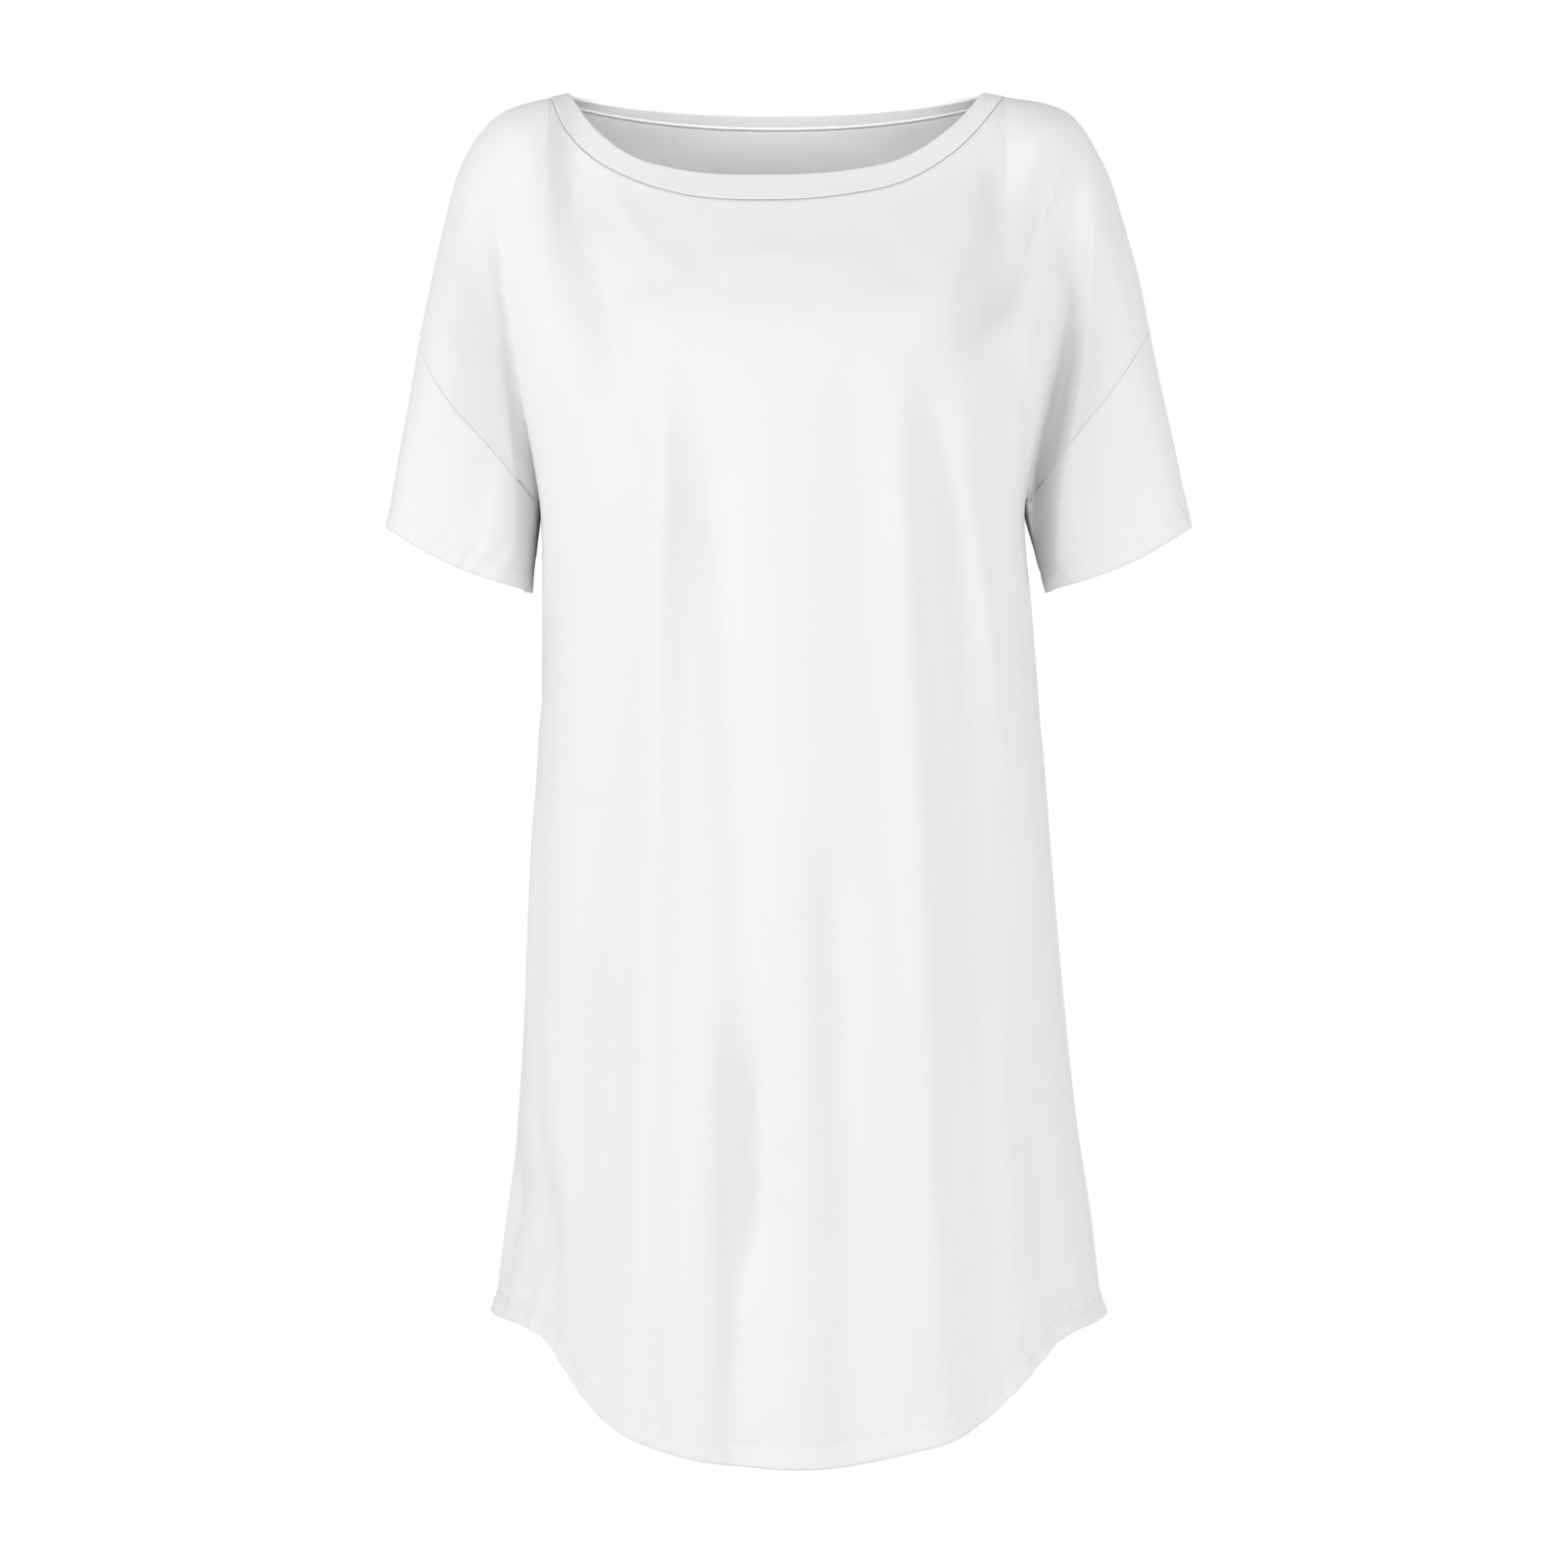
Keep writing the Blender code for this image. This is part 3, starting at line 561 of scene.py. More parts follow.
# %% Table of the front's creases
CREASES_FRONT = (
    # from the neck seam down over the chest
    (-108.0, -60.0, -76.0, -114.0, 3.0, 1.6, 5.0, 7.0, 0.35),
    (-60.0, -92.0, -44.0, -128.0, 0.0, -1.4, 10.0, 8.0, 0.40),
    (62.0, -84.0, 78.0, -136.0, -2.0, -1.0, 8.0, 9.0, 0.40),
    (118.0, -54.0, 152.0, -30.0, 2.0, 1.2, 6.0, 6.0, 0.40),
    (128.0, -74.0, 168.0, -34.0, -2.0, -1.2, 7.0, 6.0, 0.35),
    (-12.0, -88.0, -6.0, -120.0, 0.0, 0.7, 9.0, 8.0, 0.45),
    # the bust shelf
    (-100.0, -148.0, -64.0, -121.0, -4.0, -1.8, 10.0, 9.0, 0.40),
    (-64.0, -121.0, 70.0, -118.0, -5.0, 1.4, 12.0, 9.0, 0.30),
    (70.0, -118.0, 100.0, -140.0, -3.0, -1.5, 8.0, 9.0, 0.40),
    # from the right shoulder to the bust
    (216.0, -30.0, 114.0, -196.0, 5.0, -21.0, 28.0, 22.0, 0.40),
    (158.0, -36.0, 98.0, -184.0, 3.0, 8.5, 26.0, 19.0, 0.38),
    (190.0, -44.0, 186.0, -120.0, 3.0, 1.4, 7.0, 8.0, 0.35),
    # from the left shoulder to the bust
    (-114.0, -96.0, -100.0, -226.0, 2.0, -11.0, 20.0, 14.0, 0.45),
    # beside the long folds
    (-89.0, -184.0, -80.0, -272.0, 2.0, -2.2, 5.0, 6.0, 0.40),
    (-97.0, -500.0, -116.0, -868.0, 3.0, -3.0, 10.0, 8.0, 0.30),
    (-19.0, -570.0, -16.0, -790.0, -3.0, -12.5, 16.0, 12.0, 0.40),
    (-22.0, -706.0, -27.0, -862.0, 0.0, -3.6, 9.0, 8.0, 0.35),
    (63.0, -606.0, 69.0, -700.0, 0.0, -1.2, 4.0, 4.0, 0.35),
    (12.0, -660.0, 13.0, -712.0, 0.0, -1.6, 13.0, 13.0, 0.50),
    (98.0, -186.0, 142.0, -430.0, -8.0, 2.6, 7.0, 6.0, 0.30),
    (113.0, -560.0, 109.0, -770.0, 2.0, -1.6, 6.0, 6.0, 0.35),
    (118.0, -655.0, 120.0, -735.0, 0.0, 1.4, 6.0, 6.0, 0.40),
    (129.0, -765.0, 131.0, -825.0, 0.0, 1.4, 5.0, 6.0, 0.40),
    (135.0, -725.0, 136.0, -772.0, 0.0, -1.6, 4.0, 5.0, 0.40),
    (83.0, -750.0, 85.0, -850.0, 0.0, 1.6, 6.0, 5.0, 0.35),
    (12.0, -800.0, 12.0, -866.0, 0.0, 1.2, 7.0, 7.0, 0.40),
    (56.0, -780.0, 57.0, -830.0, 0.0, 1.0, 6.0, 6.0, 0.45),
    # the flanks
    (-140.0, -480.0, -104.0, -458.0, -3.0, -1.8, 10.0, 9.0, 0.45),
    (-150.0, -640.0, -142.0, -770.0, 3.0, -2.0, 10.0, 9.0, 0.35),
    (-168.0, -764.0, -158.0, -792.0, 0.0, -1.8, 5.0, 5.0, 0.45),
    (-162.0, -664.0, -142.0, -840.0, 2.0, -12.0, 24.0, 18.0, 0.40),
    (160.0, -640.0, 172.0, -776.0, -3.0, -1.8, 9.0, 8.0, 0.35),
    (196.0, -762.0, 170.0, -806.0, 2.0, -2.0, 5.0, 6.0, 0.40),
    (-132.0, -300.0, -118.0, -392.0, 4.0, -1.4, 9.0, 9.0, 0.40),
    (150.0, -430.0, 146.0, -560.0, -3.0, -1.8, 9.0, 9.0, 0.35),
)
print("creases on the front:", len(CREASES_FRONT))

# %% [markdown]
# ## The creases of the back
#
# The back of such a dress falls from the shoulder blades. Its creases are like the front's, but they
# start lower and lean towards the seat, and there is no shelf at the chest. Nothing is mirrored from
# the front, because a repeated crease is the first thing that looks false.

# %% Table of the back's creases
CREASES_BACK = (
    (-116.0, -40.0, -72.0, -96.0, 4.0, 1.5, 8.0, 6.0, 0.40),
    (-52.0, -44.0, -44.0, -92.0, 0.0, -1.0, 9.0, 9.0, 0.45),
    (100.0, -38.0, 70.0, -90.0, -3.0, 1.3, 7.0, 8.0, 0.40),
    (24.0, -52.0, 18.0, -104.0, 0.0, -0.9, 9.0, 8.0, 0.45),
    (-176.0, -52.0, -128.0, -168.0, -5.0, -2.2, 12.0, 14.0, 0.35),
    (182.0, -58.0, 134.0, -178.0, 5.0, -2.0, 13.0, 12.0, 0.35),
    (-100.0, -190.0, -12.0, -214.0, 5.0, -1.2, 12.0, 12.0, 0.40),
    (14.0, -236.0, 98.0, -210.0, 5.0, -1.2, 12.0, 12.0, 0.40),
    (-78.0, -350.0, -84.0, -520.0, 4.0, 1.8, 8.0, 7.0, 0.35),
    (-60.0, -560.0, -66.0, -820.0, -4.0, -2.0, 8.0, 7.0, 0.30),
    (2.0, -420.0, 8.0, -640.0, 5.0, -1.8, 9.0, 7.0, 0.35),
    (44.0, -520.0, 40.0, -760.0, -4.0, 1.8, 7.0, 8.0, 0.35),
    (86.0, -600.0, 92.0, -840.0, 3.0, -1.6, 7.0, 7.0, 0.35),
    (120.0, -440.0, 128.0, -620.0, 4.0, 1.8, 8.0, 7.0, 0.35),
    (-118.0, -620.0, -126.0, -800.0, -4.0, 1.8, 7.0, 7.0, 0.35),
    (-36.0, -780.0, -38.0, -858.0, 0.0, 1.2, 6.0, 6.0, 0.40),
    (26.0, -790.0, 27.0, -862.0, 0.0, 1.2, 6.0, 7.0, 0.40),
    (-150.0, -540.0, -112.0, -520.0, 3.0, -1.5, 10.0, 9.0, 0.45),
    (112.0, -660.0, 158.0, -690.0, -3.0, -1.5, 10.0, 9.0, 0.45),
    (170.0, -700.0, 180.0, -788.0, 3.0, -1.6, 8.0, 8.0, 0.40),
)
print("creases on the back:", len(CREASES_BACK))

# %% [markdown]
# ## The creases of the sleeves and the sides
#
# A short jersey sleeve hangs from the shoulder point with a few slanting folds, laid on beside the
# tuck that its form already has. The sides of the skirt are seen edge on from the front, so their
# creases are laid in the side view, by how far forward or back (y) and how high (z) they are. They
# begin below the sleeves and die out where the cloth turns to the front or the back.

# %% Tables of the creases of the sleeves and the sides
CREASES_SLEEVE_FRONT = (
    (-196.0, -60.0, -222.0, -250.0, 4.0, 1.3, 10.0, 10.0, 0.35),
    (-176.0, -210.0, -196.0, -322.0, 3.0, -1.4, 8.0, 7.0, 0.35),
    (-212.0, -180.0, -226.0, -290.0, 2.0, -1.0, 8.0, 8.0, 0.40),
    (206.0, -64.0, 236.0, -260.0, -4.0, 1.3, 10.0, 10.0, 0.35),
    (190.0, -206.0, 208.0, -326.0, -3.0, -1.6, 7.0, 8.0, 0.35),
    (226.0, -176.0, 238.0, -296.0, 2.0, -1.0, 8.0, 8.0, 0.40),
)
CREASES_SLEEVE_BACK = (
    (-200.0, -70.0, -214.0, -270.0, -5.0, 1.4, 9.0, 10.0, 0.35),
    (-180.0, -190.0, -190.0, -320.0, 4.0, -1.6, 8.0, 8.0, 0.35),
    (-222.0, -170.0, -238.0, -262.0, 2.0, -1.2, 7.0, 8.0, 0.40),
    (210.0, -74.0, 226.0, -280.0, 5.0, 1.4, 9.0, 10.0, 0.35),
    (192.0, -196.0, 202.0, -318.0, -4.0, -1.6, 8.0, 8.0, 0.35),
    (236.0, -180.0, 250.0, -262.0, 2.0, -1.2, 7.0, 8.0, 0.40),
)
CREASES_SIDE = {
    -1: (
        (-52.0, -352.0, 34.0, -430.0, 6.0, -2.2, 11.0, 10.0, 0.40),
        (-20.0, -430.0, -36.0, -640.0, 6.0, 2.4, 11.0, 10.0, 0.35),
        (26.0, -470.0, 34.0, -720.0, -5.0, -2.6, 11.0, 10.0, 0.35),
        (-60.0, -600.0, -66.0, -800.0, 4.0, -2.2, 9.0, 9.0, 0.40),
        (2.0, -680.0, -2.0, -800.0, 3.0, 2.0, 8.0, 8.0, 0.60),
    ),
    1: (
        (48.0, -344.0, -30.0, -420.0, -6.0, -2.2, 10.0, 11.0, 0.40),
        (-28.0, -450.0, -34.0, -660.0, -6.0, -2.4, 10.0, 11.0, 0.35),
        (22.0, -420.0, 38.0, -620.0, 5.0, 2.4, 10.0, 11.0, 0.35),
        (54.0, -560.0, 60.0, -790.0, -4.0, -2.0, 9.0, 9.0, 0.40),
        (-6.0, -660.0, 0.0, -800.0, 3.0, 2.0, 8.0, 8.0, 0.60),
    ),
}
CREASES = {
    "front": CREASES_FRONT + CREASES_SLEEVE_FRONT,
    "back": CREASES_BACK + CREASES_SLEEVE_BACK,
}
CREASE_FOOT = 26.0      # creases laid in the front view die out where the form is shallower than this
SIDE_TOP = -330.0       # creases laid in the side view begin below this height
SIDE_FADE = 30.0        # and have their full depth this much lower
SIDE_TURN = 0.5         # they are at full depth where the cloth faces at least this much to the side
print("creases on the sleeves:", len(CREASES_SLEEVE_FRONT) + len(CREASES_SLEEVE_BACK),
      "and on the sides:", sum(len(rows) for rows in CREASES_SIDE.values()))

# %% [markdown]
# ## From a flat plan to cloth
#
# Every piece is first a grid of places in the plane of the side seams, then a skin on the worn form.
# The creases push that skin in or out along its own normals. Because neighbouring pieces read the same
# tables, a crease that crosses a seam carries on on the other side of it.

# %% Lay a grid of places on the worn form
OUTER_SAMPLES = 400     # places at which a stretch of the outer line is measured


def creased(flat, face):
    """The skin of the dress over a grid of places, with its creases, and its outward directions."""
    points, normal = on_form(flat, face)
    x, y, z = np.moveaxis(points, -1, 0)
    relief = crease_relief(x, z, CREASES[face]) * smoothstep(np.abs(y) / CREASE_FOOT)
    below_sleeve = smoothstep((SIDE_TOP - z) / SIDE_FADE)
    for side, side_rows in CREASES_SIDE.items():
        here = smoothstep(side * normal[..., 0] / SIDE_TURN) * below_sleeve
        relief += crease_relief(y, z, side_rows) * here
    return points + normal * relief[..., None], normal


def along_outer(x_start, x_end, share):
    """Places on the outer line between two of its x, at these shares of the way along it."""
    fine = np.linspace(x_start, x_end, OUTER_SAMPLES)
    fine_z = outer_z(fine)
    length = np.concatenate([[0.0], np.cumsum(np.hypot(np.diff(fine), np.diff(fine_z)))])
    x = np.interp(share * length[-1], length, fine)
    return np.stack([x, outer_z(x)], axis=-1)


waist = np.array([[[-82.0, -400.0], [0.0, -400.0], [80.0, -400.0]]])
print("front at three places of the waist (mm):", np.round(creased(waist, "front")[0][0, :, 1], 1))

# %% [markdown]
# ## The plan of the front and the back
#
# Both panels hang from the shoulders and the neck seam and end at the hem. A grid that simply runs in
# rows and columns would be cut off in steps at the armholes, so its top row follows the shoulder and
# the neck, its side columns follow the armhole, and the rows in between change gently from one to the
# other. That is also how a pattern cutter lets the grain of the cloth run.

# %% Grid of a panel, from the neck to just above the hem
NECK_COLUMNS = 92
SHOULDER_COLUMNS = 38
NECK_SHARE = 0.68       # share of a panel's half width that the neck takes at the top
UPPER_ROWS = 84
LOWER_ROWS = 158
NECK_PULL = 0.3         # share of the half width over which columns turn from the neck to the armhole
ARMHOLE_PULL = 0.2      # share of it over which their rows take the spacing of the armhole
ARMHOLE_BEND = 3        # power with which the bend of an armhole fades across the panel
# heights of the rows above the hem line, and how many of them belong to the turned band
HEM_HEIGHTS = (17.0, 15.0, 13.8, 12.8, 11.8, 10.6, 9.4, 8.2, 6.4, 4.4, 2.6)
TURNED_ROWS = 8


def panel_columns():
    """The columns of a panel from its left side (-1) to its right side (1), closer at the shoulders."""
    shoulder = np.linspace(-1.0, -NECK_SHARE, SHOULDER_COLUMNS + 1)
    neck = np.linspace(-NECK_SHARE, NECK_SHARE, NECK_COLUMNS + 1)
    return np.concatenate([shoulder[:-1], neck, -shoulder[-2::-1]])


def panel_top(face):
    """Left shoulder seam, neck seam and right shoulder seam, one place for each column."""
    seam = neck_line(face, "seam", eased(np.linspace(0.0, 1.0, NECK_COLUMNS + 1)))
    share = np.linspace(0.0, 1.0, SHOULDER_COLUMNS + 1)
    left = along_outer(outer_x(TIP_Z, -1), seam[0, 0], share)
    right = along_outer(seam[-1, 0], outer_x(TIP_Z, 1), share)
    return np.concatenate([left, seam[1:-1], right])


def panel_upper(face):
    """Places from the shoulders and neck down to the underarm row, with the armholes at the sides."""
    u = panel_columns()
    t = np.linspace(0.0, 1.0, UPPER_ROWS + 1)[:, None]
    from_outline = smoothstep((np.abs(u) - NECK_SHARE) / NECK_PULL + 1.0)
    to_underarm = smoothstep((np.abs(u) - 1.0) / ARMHOLE_PULL + 1.0)
    down = t + from_outline * (1.0 - np.cos(np.pi * t / 2.0) - t)
    down = down + to_underarm * (eased(t) - down)
    top = panel_top(face)
    foot_z = np.full_like(u, UNDERARM_Z)
    foot = np.stack([body_x(u, foot_z), foot_z], axis=-1)
    flat = top + (foot - top) * down[..., None]
    for side, column in ((-1, 0), (1, -1)):
        seam = armhole(side, down[:, column])
        bend = seam - (top[column] + (foot[column] - top[column]) * down[:, column, None])
        bend_at = [[np.interp(row, down[:, column], bend[:, axis]) for axis in (0, 1)] for row in down.T]
        reach = np.clip(side * u, 0.0, 1.0) ** ARMHOLE_BEND
        flat += np.array(bend_at).transpose(2, 0, 1) * reach[:, None]
        flat[:, column] = seam
    return flat


def hem_line(u):
    """Height of the hem at a column."""
    return smooth(np.sin(np.pi * u / 2.0), HEM_AT["across"], HEM_AT["z"])


def panel_lower():
    """Places from below the underarm row to the hem line."""
    u = panel_columns()
    hem_z = hem_line(u)
    above = np.array(HEM_HEIGHTS + (0.0,))[:, None]
    share = np.linspace(0.0, 1.0, LOWER_ROWS + 1)[1:-1, None]
    rows = UNDERARM_Z + (hem_z + above[0] - UNDERARM_Z) * share
    rows = np.concatenate([rows, hem_z + above])
    return np.stack([body_x(u[None, :], rows), rows], axis=-1)


plan = {face: np.concatenate([panel_upper(face), panel_lower()]) for face in ("front", "back")}
for face, flat in plan.items():
    print(f"plan of the {face}: {flat.shape[0]} rows of {flat.shape[1]} places")

# %% [markdown]
# ## Puckers of a hem
#
# Jersey stretches while it is sewn, so a turned hem never lies flat. It ropes: short slanting ripples
# run across the turned band and die out a little above it, the two rows of stitches pull the cloth in,
# and the heavy band kicks out towards its edge. The ripples are sums of a few waves that don't fit
# into each other, so that they never repeat, and their strength comes and goes along the hem. They
# are calmer beside the seams, where the cloth is held.

# %% How a turned hem ripples
HEM_TURN = 12.6         # height of the turned band, in millimetres
NEEDLE_ROWS = (12.8, 9.4)    # heights of the two rows of stitches above the edge
RIPPLES = ((17.0, 0.66), (11.3, 0.44), (27.5, 0.70), (7.9, 0.18))    # wavelength and height
RIPPLE_SLANT = 0.55     # how far a ripple leans along the hem for each millimetre of height
RIPPLE_REACH = 34.0     # the ripples have died out at this height
SWELL_MEAN = 0.6        # mean strength of a ripple,
SWELL_RANGE = 0.5       # how far it swells and sinks from that,
SWELL_LENGTH = 7.3      # and over how many of its wavelengths
SKIRT_KICK = 1.8        # the turned band of the skirt stands off this much more at its edge
STITCH_PULL = 0.50      # depth of the groove along a row of stitches
STITCH_GROOVE = 1.1     # half width of that groove
STITCH_HOLD = 0.35      # share of the ripples that a row of stitches holds down
TURN_THICK = 0.80       # the turned band stands this much above the single cloth,
TURN_START = 1.4        # from this much over the top of the turn
TURN_STEP = 1.6         # to its full thickness this much lower
SEAM_CALM = 0.25        # strength of the ripples at a seam
CALM_REACH = 9.0        # they have their full strength at this distance from it


def hem_relief(along, above, seed, kick=0.0):
    """Height of the ripples, grooves and band at a place along a hem and above its edge."""
    phases = np.random.default_rng(seed).uniform(0.0, 2.0 * np.pi, (len(RIPPLES), 2))
    ripples = np.zeros_like(along)
    for (wavelength, height), (phase, swell) in zip(RIPPLES, phases):
        swelling = np.sin(2.0 * np.pi * along / (wavelength * SWELL_LENGTH) + swell)
        wave = np.sin(2.0 * np.pi * (along + RIPPLE_SLANT * above) / wavelength + phase)
        ripples += height * (SWELL_MEAN + SWELL_RANGE * swelling) * wave
    fades = smoothstep((RIPPLE_REACH - above) / (RIPPLE_REACH - HEM_TURN))
    grooves = sum(np.exp(-(((above - row) / STITCH_GROOVE) ** 2)) for row in NEEDLE_ROWS)
    held = 1.0 - STITCH_HOLD * np.clip(grooves, 0.0, 1.0)
    thick = TURN_THICK * smoothstep((HEM_TURN + TURN_START - above) / TURN_STEP)
    flare = kick * np.clip(1.0 - above / HEM_TURN, 0.0, 1.0)
    return ripples * fades * held - STITCH_PULL * grooves + thick + flare


def calm_at_seams(along):
    """How strong the ripples are at places along a row that runs from seam to seam."""
    from_seam = np.minimum(along, along[:, -1:] - along)
    return SEAM_CALM + (1.0 - SEAM_CALM) * smoothstep(from_seam / CALM_REACH)


sample = hem_relief(np.linspace(0.0, 400.0, 400), np.full(400, 6.0), 3)
print(f"the hem band stands between {sample.min():.2f} and {sample.max():.2f} mm off the skirt")

# %% [markdown]
# ## Turning the edges
#
# No edge of a garment ends in a cut. At a hem the cloth goes round and lies on its own inside; at a
# seam it rolls under and a narrow allowance stays inside. From outside, two rolled edges that meet
# make the fine shadow line that shows where a seam is. Both are built the same way: a few rows round a
# small half circle or a sharper turn, and then rows along the inside. A skin is an array of rows and
# columns that holds a point and its outward direction in every place. To turn another side than the
# bottom, the skin is laid with that side down, turned, and laid back.

# %% Turned hems and rolled seams
SEAM_ROLL = 0.9         # radius of the roll at a seam
HEM_ROLL = 1.0          # radius of the fold at a hem
ALLOWANCE = 6.0         # width of the cloth behind a seam
ALLOWANCE_LEAN = 0.5    # how far the cut edge of an allowance leans inwards
ROLL_ANGLES = np.radians((0.0, 50.0, 90.0, 130.0, 180.0))
SIDE_DOWN = {
    "top": lambda skin: skin[::-1],
    "right": lambda skin: skin.swapaxes(0, 1),
    "left": lambda skin: skin[:, ::-1].swapaxes(0, 1),
}
SIDE_BACK = {
    "top": lambda skin: skin[::-1],
    "right": lambda skin: skin.swapaxes(0, 1),
    "left": lambda skin: skin.swapaxes(0, 1)[:, ::-1],
}


def along_skin(skin):
    """Unit steps from the last row of a skin back over it, square to its outward directions."""
    edge, normal = skin[-1, :, :3], skin[-1, :, 3:]
    step = skin[-2, :, :3] - edge
    step -= (step * normal).sum(axis=-1, keepdims=True) * normal
    return step / np.linalg.norm(step, axis=-1, keepdims=True)


def facing(rows, normal):
    """Rows of points as rows of a skin, with the outward directions of one row for them all."""
    return np.stack([np.concatenate([row, normal], axis=-1) for row in rows])


def rolled_rows(skin, radius, reach=1.0):
    """Rows round the last row of a skin: reach 1 is a half circle, less is a sharper turn."""
    edge, normal = skin[-1, :, :3], skin[-1, :, 3:]
    step = along_skin(skin)
    return facing([edge + step * reach * radius * (1.0 - np.sin(a))
                   - normal * radius * (1.0 - np.cos(a)) for a in ROLL_ANGLES], normal)


def turn_seam(skin, side, width=ALLOWANCE, reach=1.0, lean=ALLOWANCE_LEAN):
    """Roll one side of a skin under and leave a seam allowance behind it."""
    skin = SIDE_DOWN[side](skin)
    edge, normal = skin[-1, :, :3], skin[-1, :, 3:]
    step = along_skin(skin)
    allowance = [edge + step * width * share - normal * (2.0 * SEAM_ROLL + lean * share)
                 for share in (0.5, 1.0)]
    turned = np.concatenate([skin[:-1], rolled_rows(skin, SEAM_ROLL, reach), facing(allowance, normal)])
    return SIDE_BACK[side](turned)


def turn_hem(skin):
    """Fold the turned rows at the bottom of a skin to the inside."""
    inside = skin[-2:-2 - TURNED_ROWS:-1].copy()
    inside[..., :3] -= inside[..., 3:] * 2.0 * HEM_ROLL
    return np.concatenate([skin[:-1], rolled_rows(skin, HEM_ROLL), inside])


print(f"a seam groove is {2.0 * SEAM_ROLL:.1f} mm wide and {SEAM_ROLL:.1f} mm deep")

# %% [markdown]
# ## From a skin to a piece of cloth
#
# A skin becomes a mesh with one quad between four neighbours. It also gets a UV map in metres of
# cloth, measured along the rows and columns, so that the knit lies on it as on a roll of jersey and is
# neither stretched nor squeezed. A Solidify modifier gives the thickness of the cloth, to the inside.

# %% Make a mesh from a skin
CLOTH = 0.8             # thickness of the jersey in millimetres


def lengths(points, axis):
    """How far each point is along the rows (axis 1) or the columns (axis 0)."""
    step = np.linalg.norm(np.diff(points, axis=axis), axis=-1)
    start = np.zeros_like(np.take(step, [0], axis=axis))
    return np.concatenate([start, np.cumsum(step, axis=axis)], axis=axis)


def make_cloth(name, skin, closed=False, thickness=CLOTH):
    """A mesh object from a skin; closed joins its last column to its first."""
    if closed:
        skin = np.concatenate([skin, skin[:, :1]], axis=1)
    points, normal = skin[..., :3], skin[..., 3:]
    rows, columns = points.shape[:2]
    across = lengths(points, 1)
    across -= across[:, columns // 2, None]
    down = lengths(points, 0)
    first = (np.arange(rows - 1)[:, None] * columns + np.arange(columns - 1)).ravel()
    corners = np.stack([first, first + columns, first + columns + 1, first + 1], axis=-1)
    flat_points = points.reshape(-1, 3)
    a, b, c = (flat_points[corners[:, k]] for k in (0, 1, 3))
    if (np.cross(b - a, c - a) * normal.reshape(-1, 3)[corners[:, 0]]).sum() < 0.0:
        corners = corners[:, ::-1]
    uv = np.stack([across, -down], axis=-1).reshape(-1, 2)[corners.ravel()] * MM
    if closed:
        corners = np.where(corners % columns == columns - 1, corners - columns + 1, corners)
    mesh = bpy.data.meshes.new(name)
    mesh.from_pydata((flat_points * MM).tolist(), [], corners.tolist())
    mesh.uv_layers.new(name="cloth").data.foreach_set("uv", uv.ravel())
    mesh.shade_smooth()
    piece = bpy.data.objects.new(name, mesh)
    bpy.context.scene.collection.objects.link(piece)
    if closed:
        bpy.context.view_layer.objects.active = piece
        loose = [v for v in range(rows * columns) if v % columns == columns - 1]
        shaper = bmesh.new()
        shaper.from_mesh(mesh)
        shaper.verts.ensure_lookup_table()
        bmesh.ops.delete(shaper, geom=[shaper.verts[v] for v in loose], context="VERTS")
        shaper.to_mesh(mesh)
        shaper.free()
    wall = piece.modifiers.new("cloth thickness", "SOLIDIFY")
    wall.thickness = thickness * MM
    wall.offset = -1.0
    print(f"{name}: {len(mesh.polygons)} faces, {down.max():.0f} mm long")
    return piece


# %% [markdown]
# ## The front and the back
#
# The two panels are laid on the worn form, rippled at the hem, turned up there, and rolled under at
# the shoulders, the neck, the armholes and the sides. The shoulder seams are set into the plane of the
# side seams, where front and back meet. Where body and sleeve part under the arm, the skin has no
# outward direction of its own, so both pieces are told to face down, away from each other.

# %% Make the two panels
UNDERARM_LEAN = 0.9     # sine of the lean of the cloth where body and sleeve part
HEM_SEED = {"front": 11, "back": 23}
NECK_ALLOWANCE = 1.4    # the allowance at the neck is trimmed, so that it doesn't show inside,
NECK_LEAN = -0.5        # it leans to the cloth,
NECK_REACH = 0.3        # and the body turns under sharply there, below the round lip of the neckband


def underarm_normal(away):
    """Down, and a little towards one side."""
    return np.array([away * UNDERARM_LEAN, 0.0, -np.sqrt(1.0 - UNDERARM_LEAN**2)])


def panel_skin(face):
    """The skin of a panel before its edges are turned."""
    flat = plan[face]
    points, normal = creased(flat, face)
    for side, column in ((-1, 0), (1, -1)):
        normal[UPPER_ROWS, column] = underarm_normal(side)
    points[0, :SHOULDER_COLUMNS + 1, 1] = 0.0
    points[0, -SHOULDER_COLUMNS - 1:, 1] = 0.0
    along = lengths(points, 1)
    above = flat[..., 1] - hem_line(panel_columns())
    ripple = np.zeros(flat.shape[:2])
    low = above[:, 0] < RIPPLE_REACH
    relief = hem_relief(along[low], above[low], HEM_SEED[face], SKIRT_KICK)
    ripple[low] = relief * calm_at_seams(along)[low]
    points = points + normal * ripple[..., None]
    return np.concatenate([points, normal], axis=-1)


def make_panel(name, skin):
    """A panel with its hem turned up and a rolled seam on its other three sides."""
    skin = turn_hem(skin)
    skin = turn_seam(skin, "top", NECK_ALLOWANCE, NECK_REACH, NECK_LEAN)
    for side in ("left", "right"):
        skin = turn_seam(skin, side)
    return make_cloth(name, skin)


panels = {face: panel_skin(face) for face in ("front", "back")}
front_panel = make_panel("front_panel", panels["front"])
back_panel = make_panel("back_panel", panels["back"])

# %% [markdown]
# ## The sleeves
#
# Each sleeve is one piece of jersey, sewn to itself under the arm, set into the armhole at the top and
# turned up at the cuff. Its grid starts at the underarm seam, goes round the front, over the outer line
# and back along the back of the sleeve.

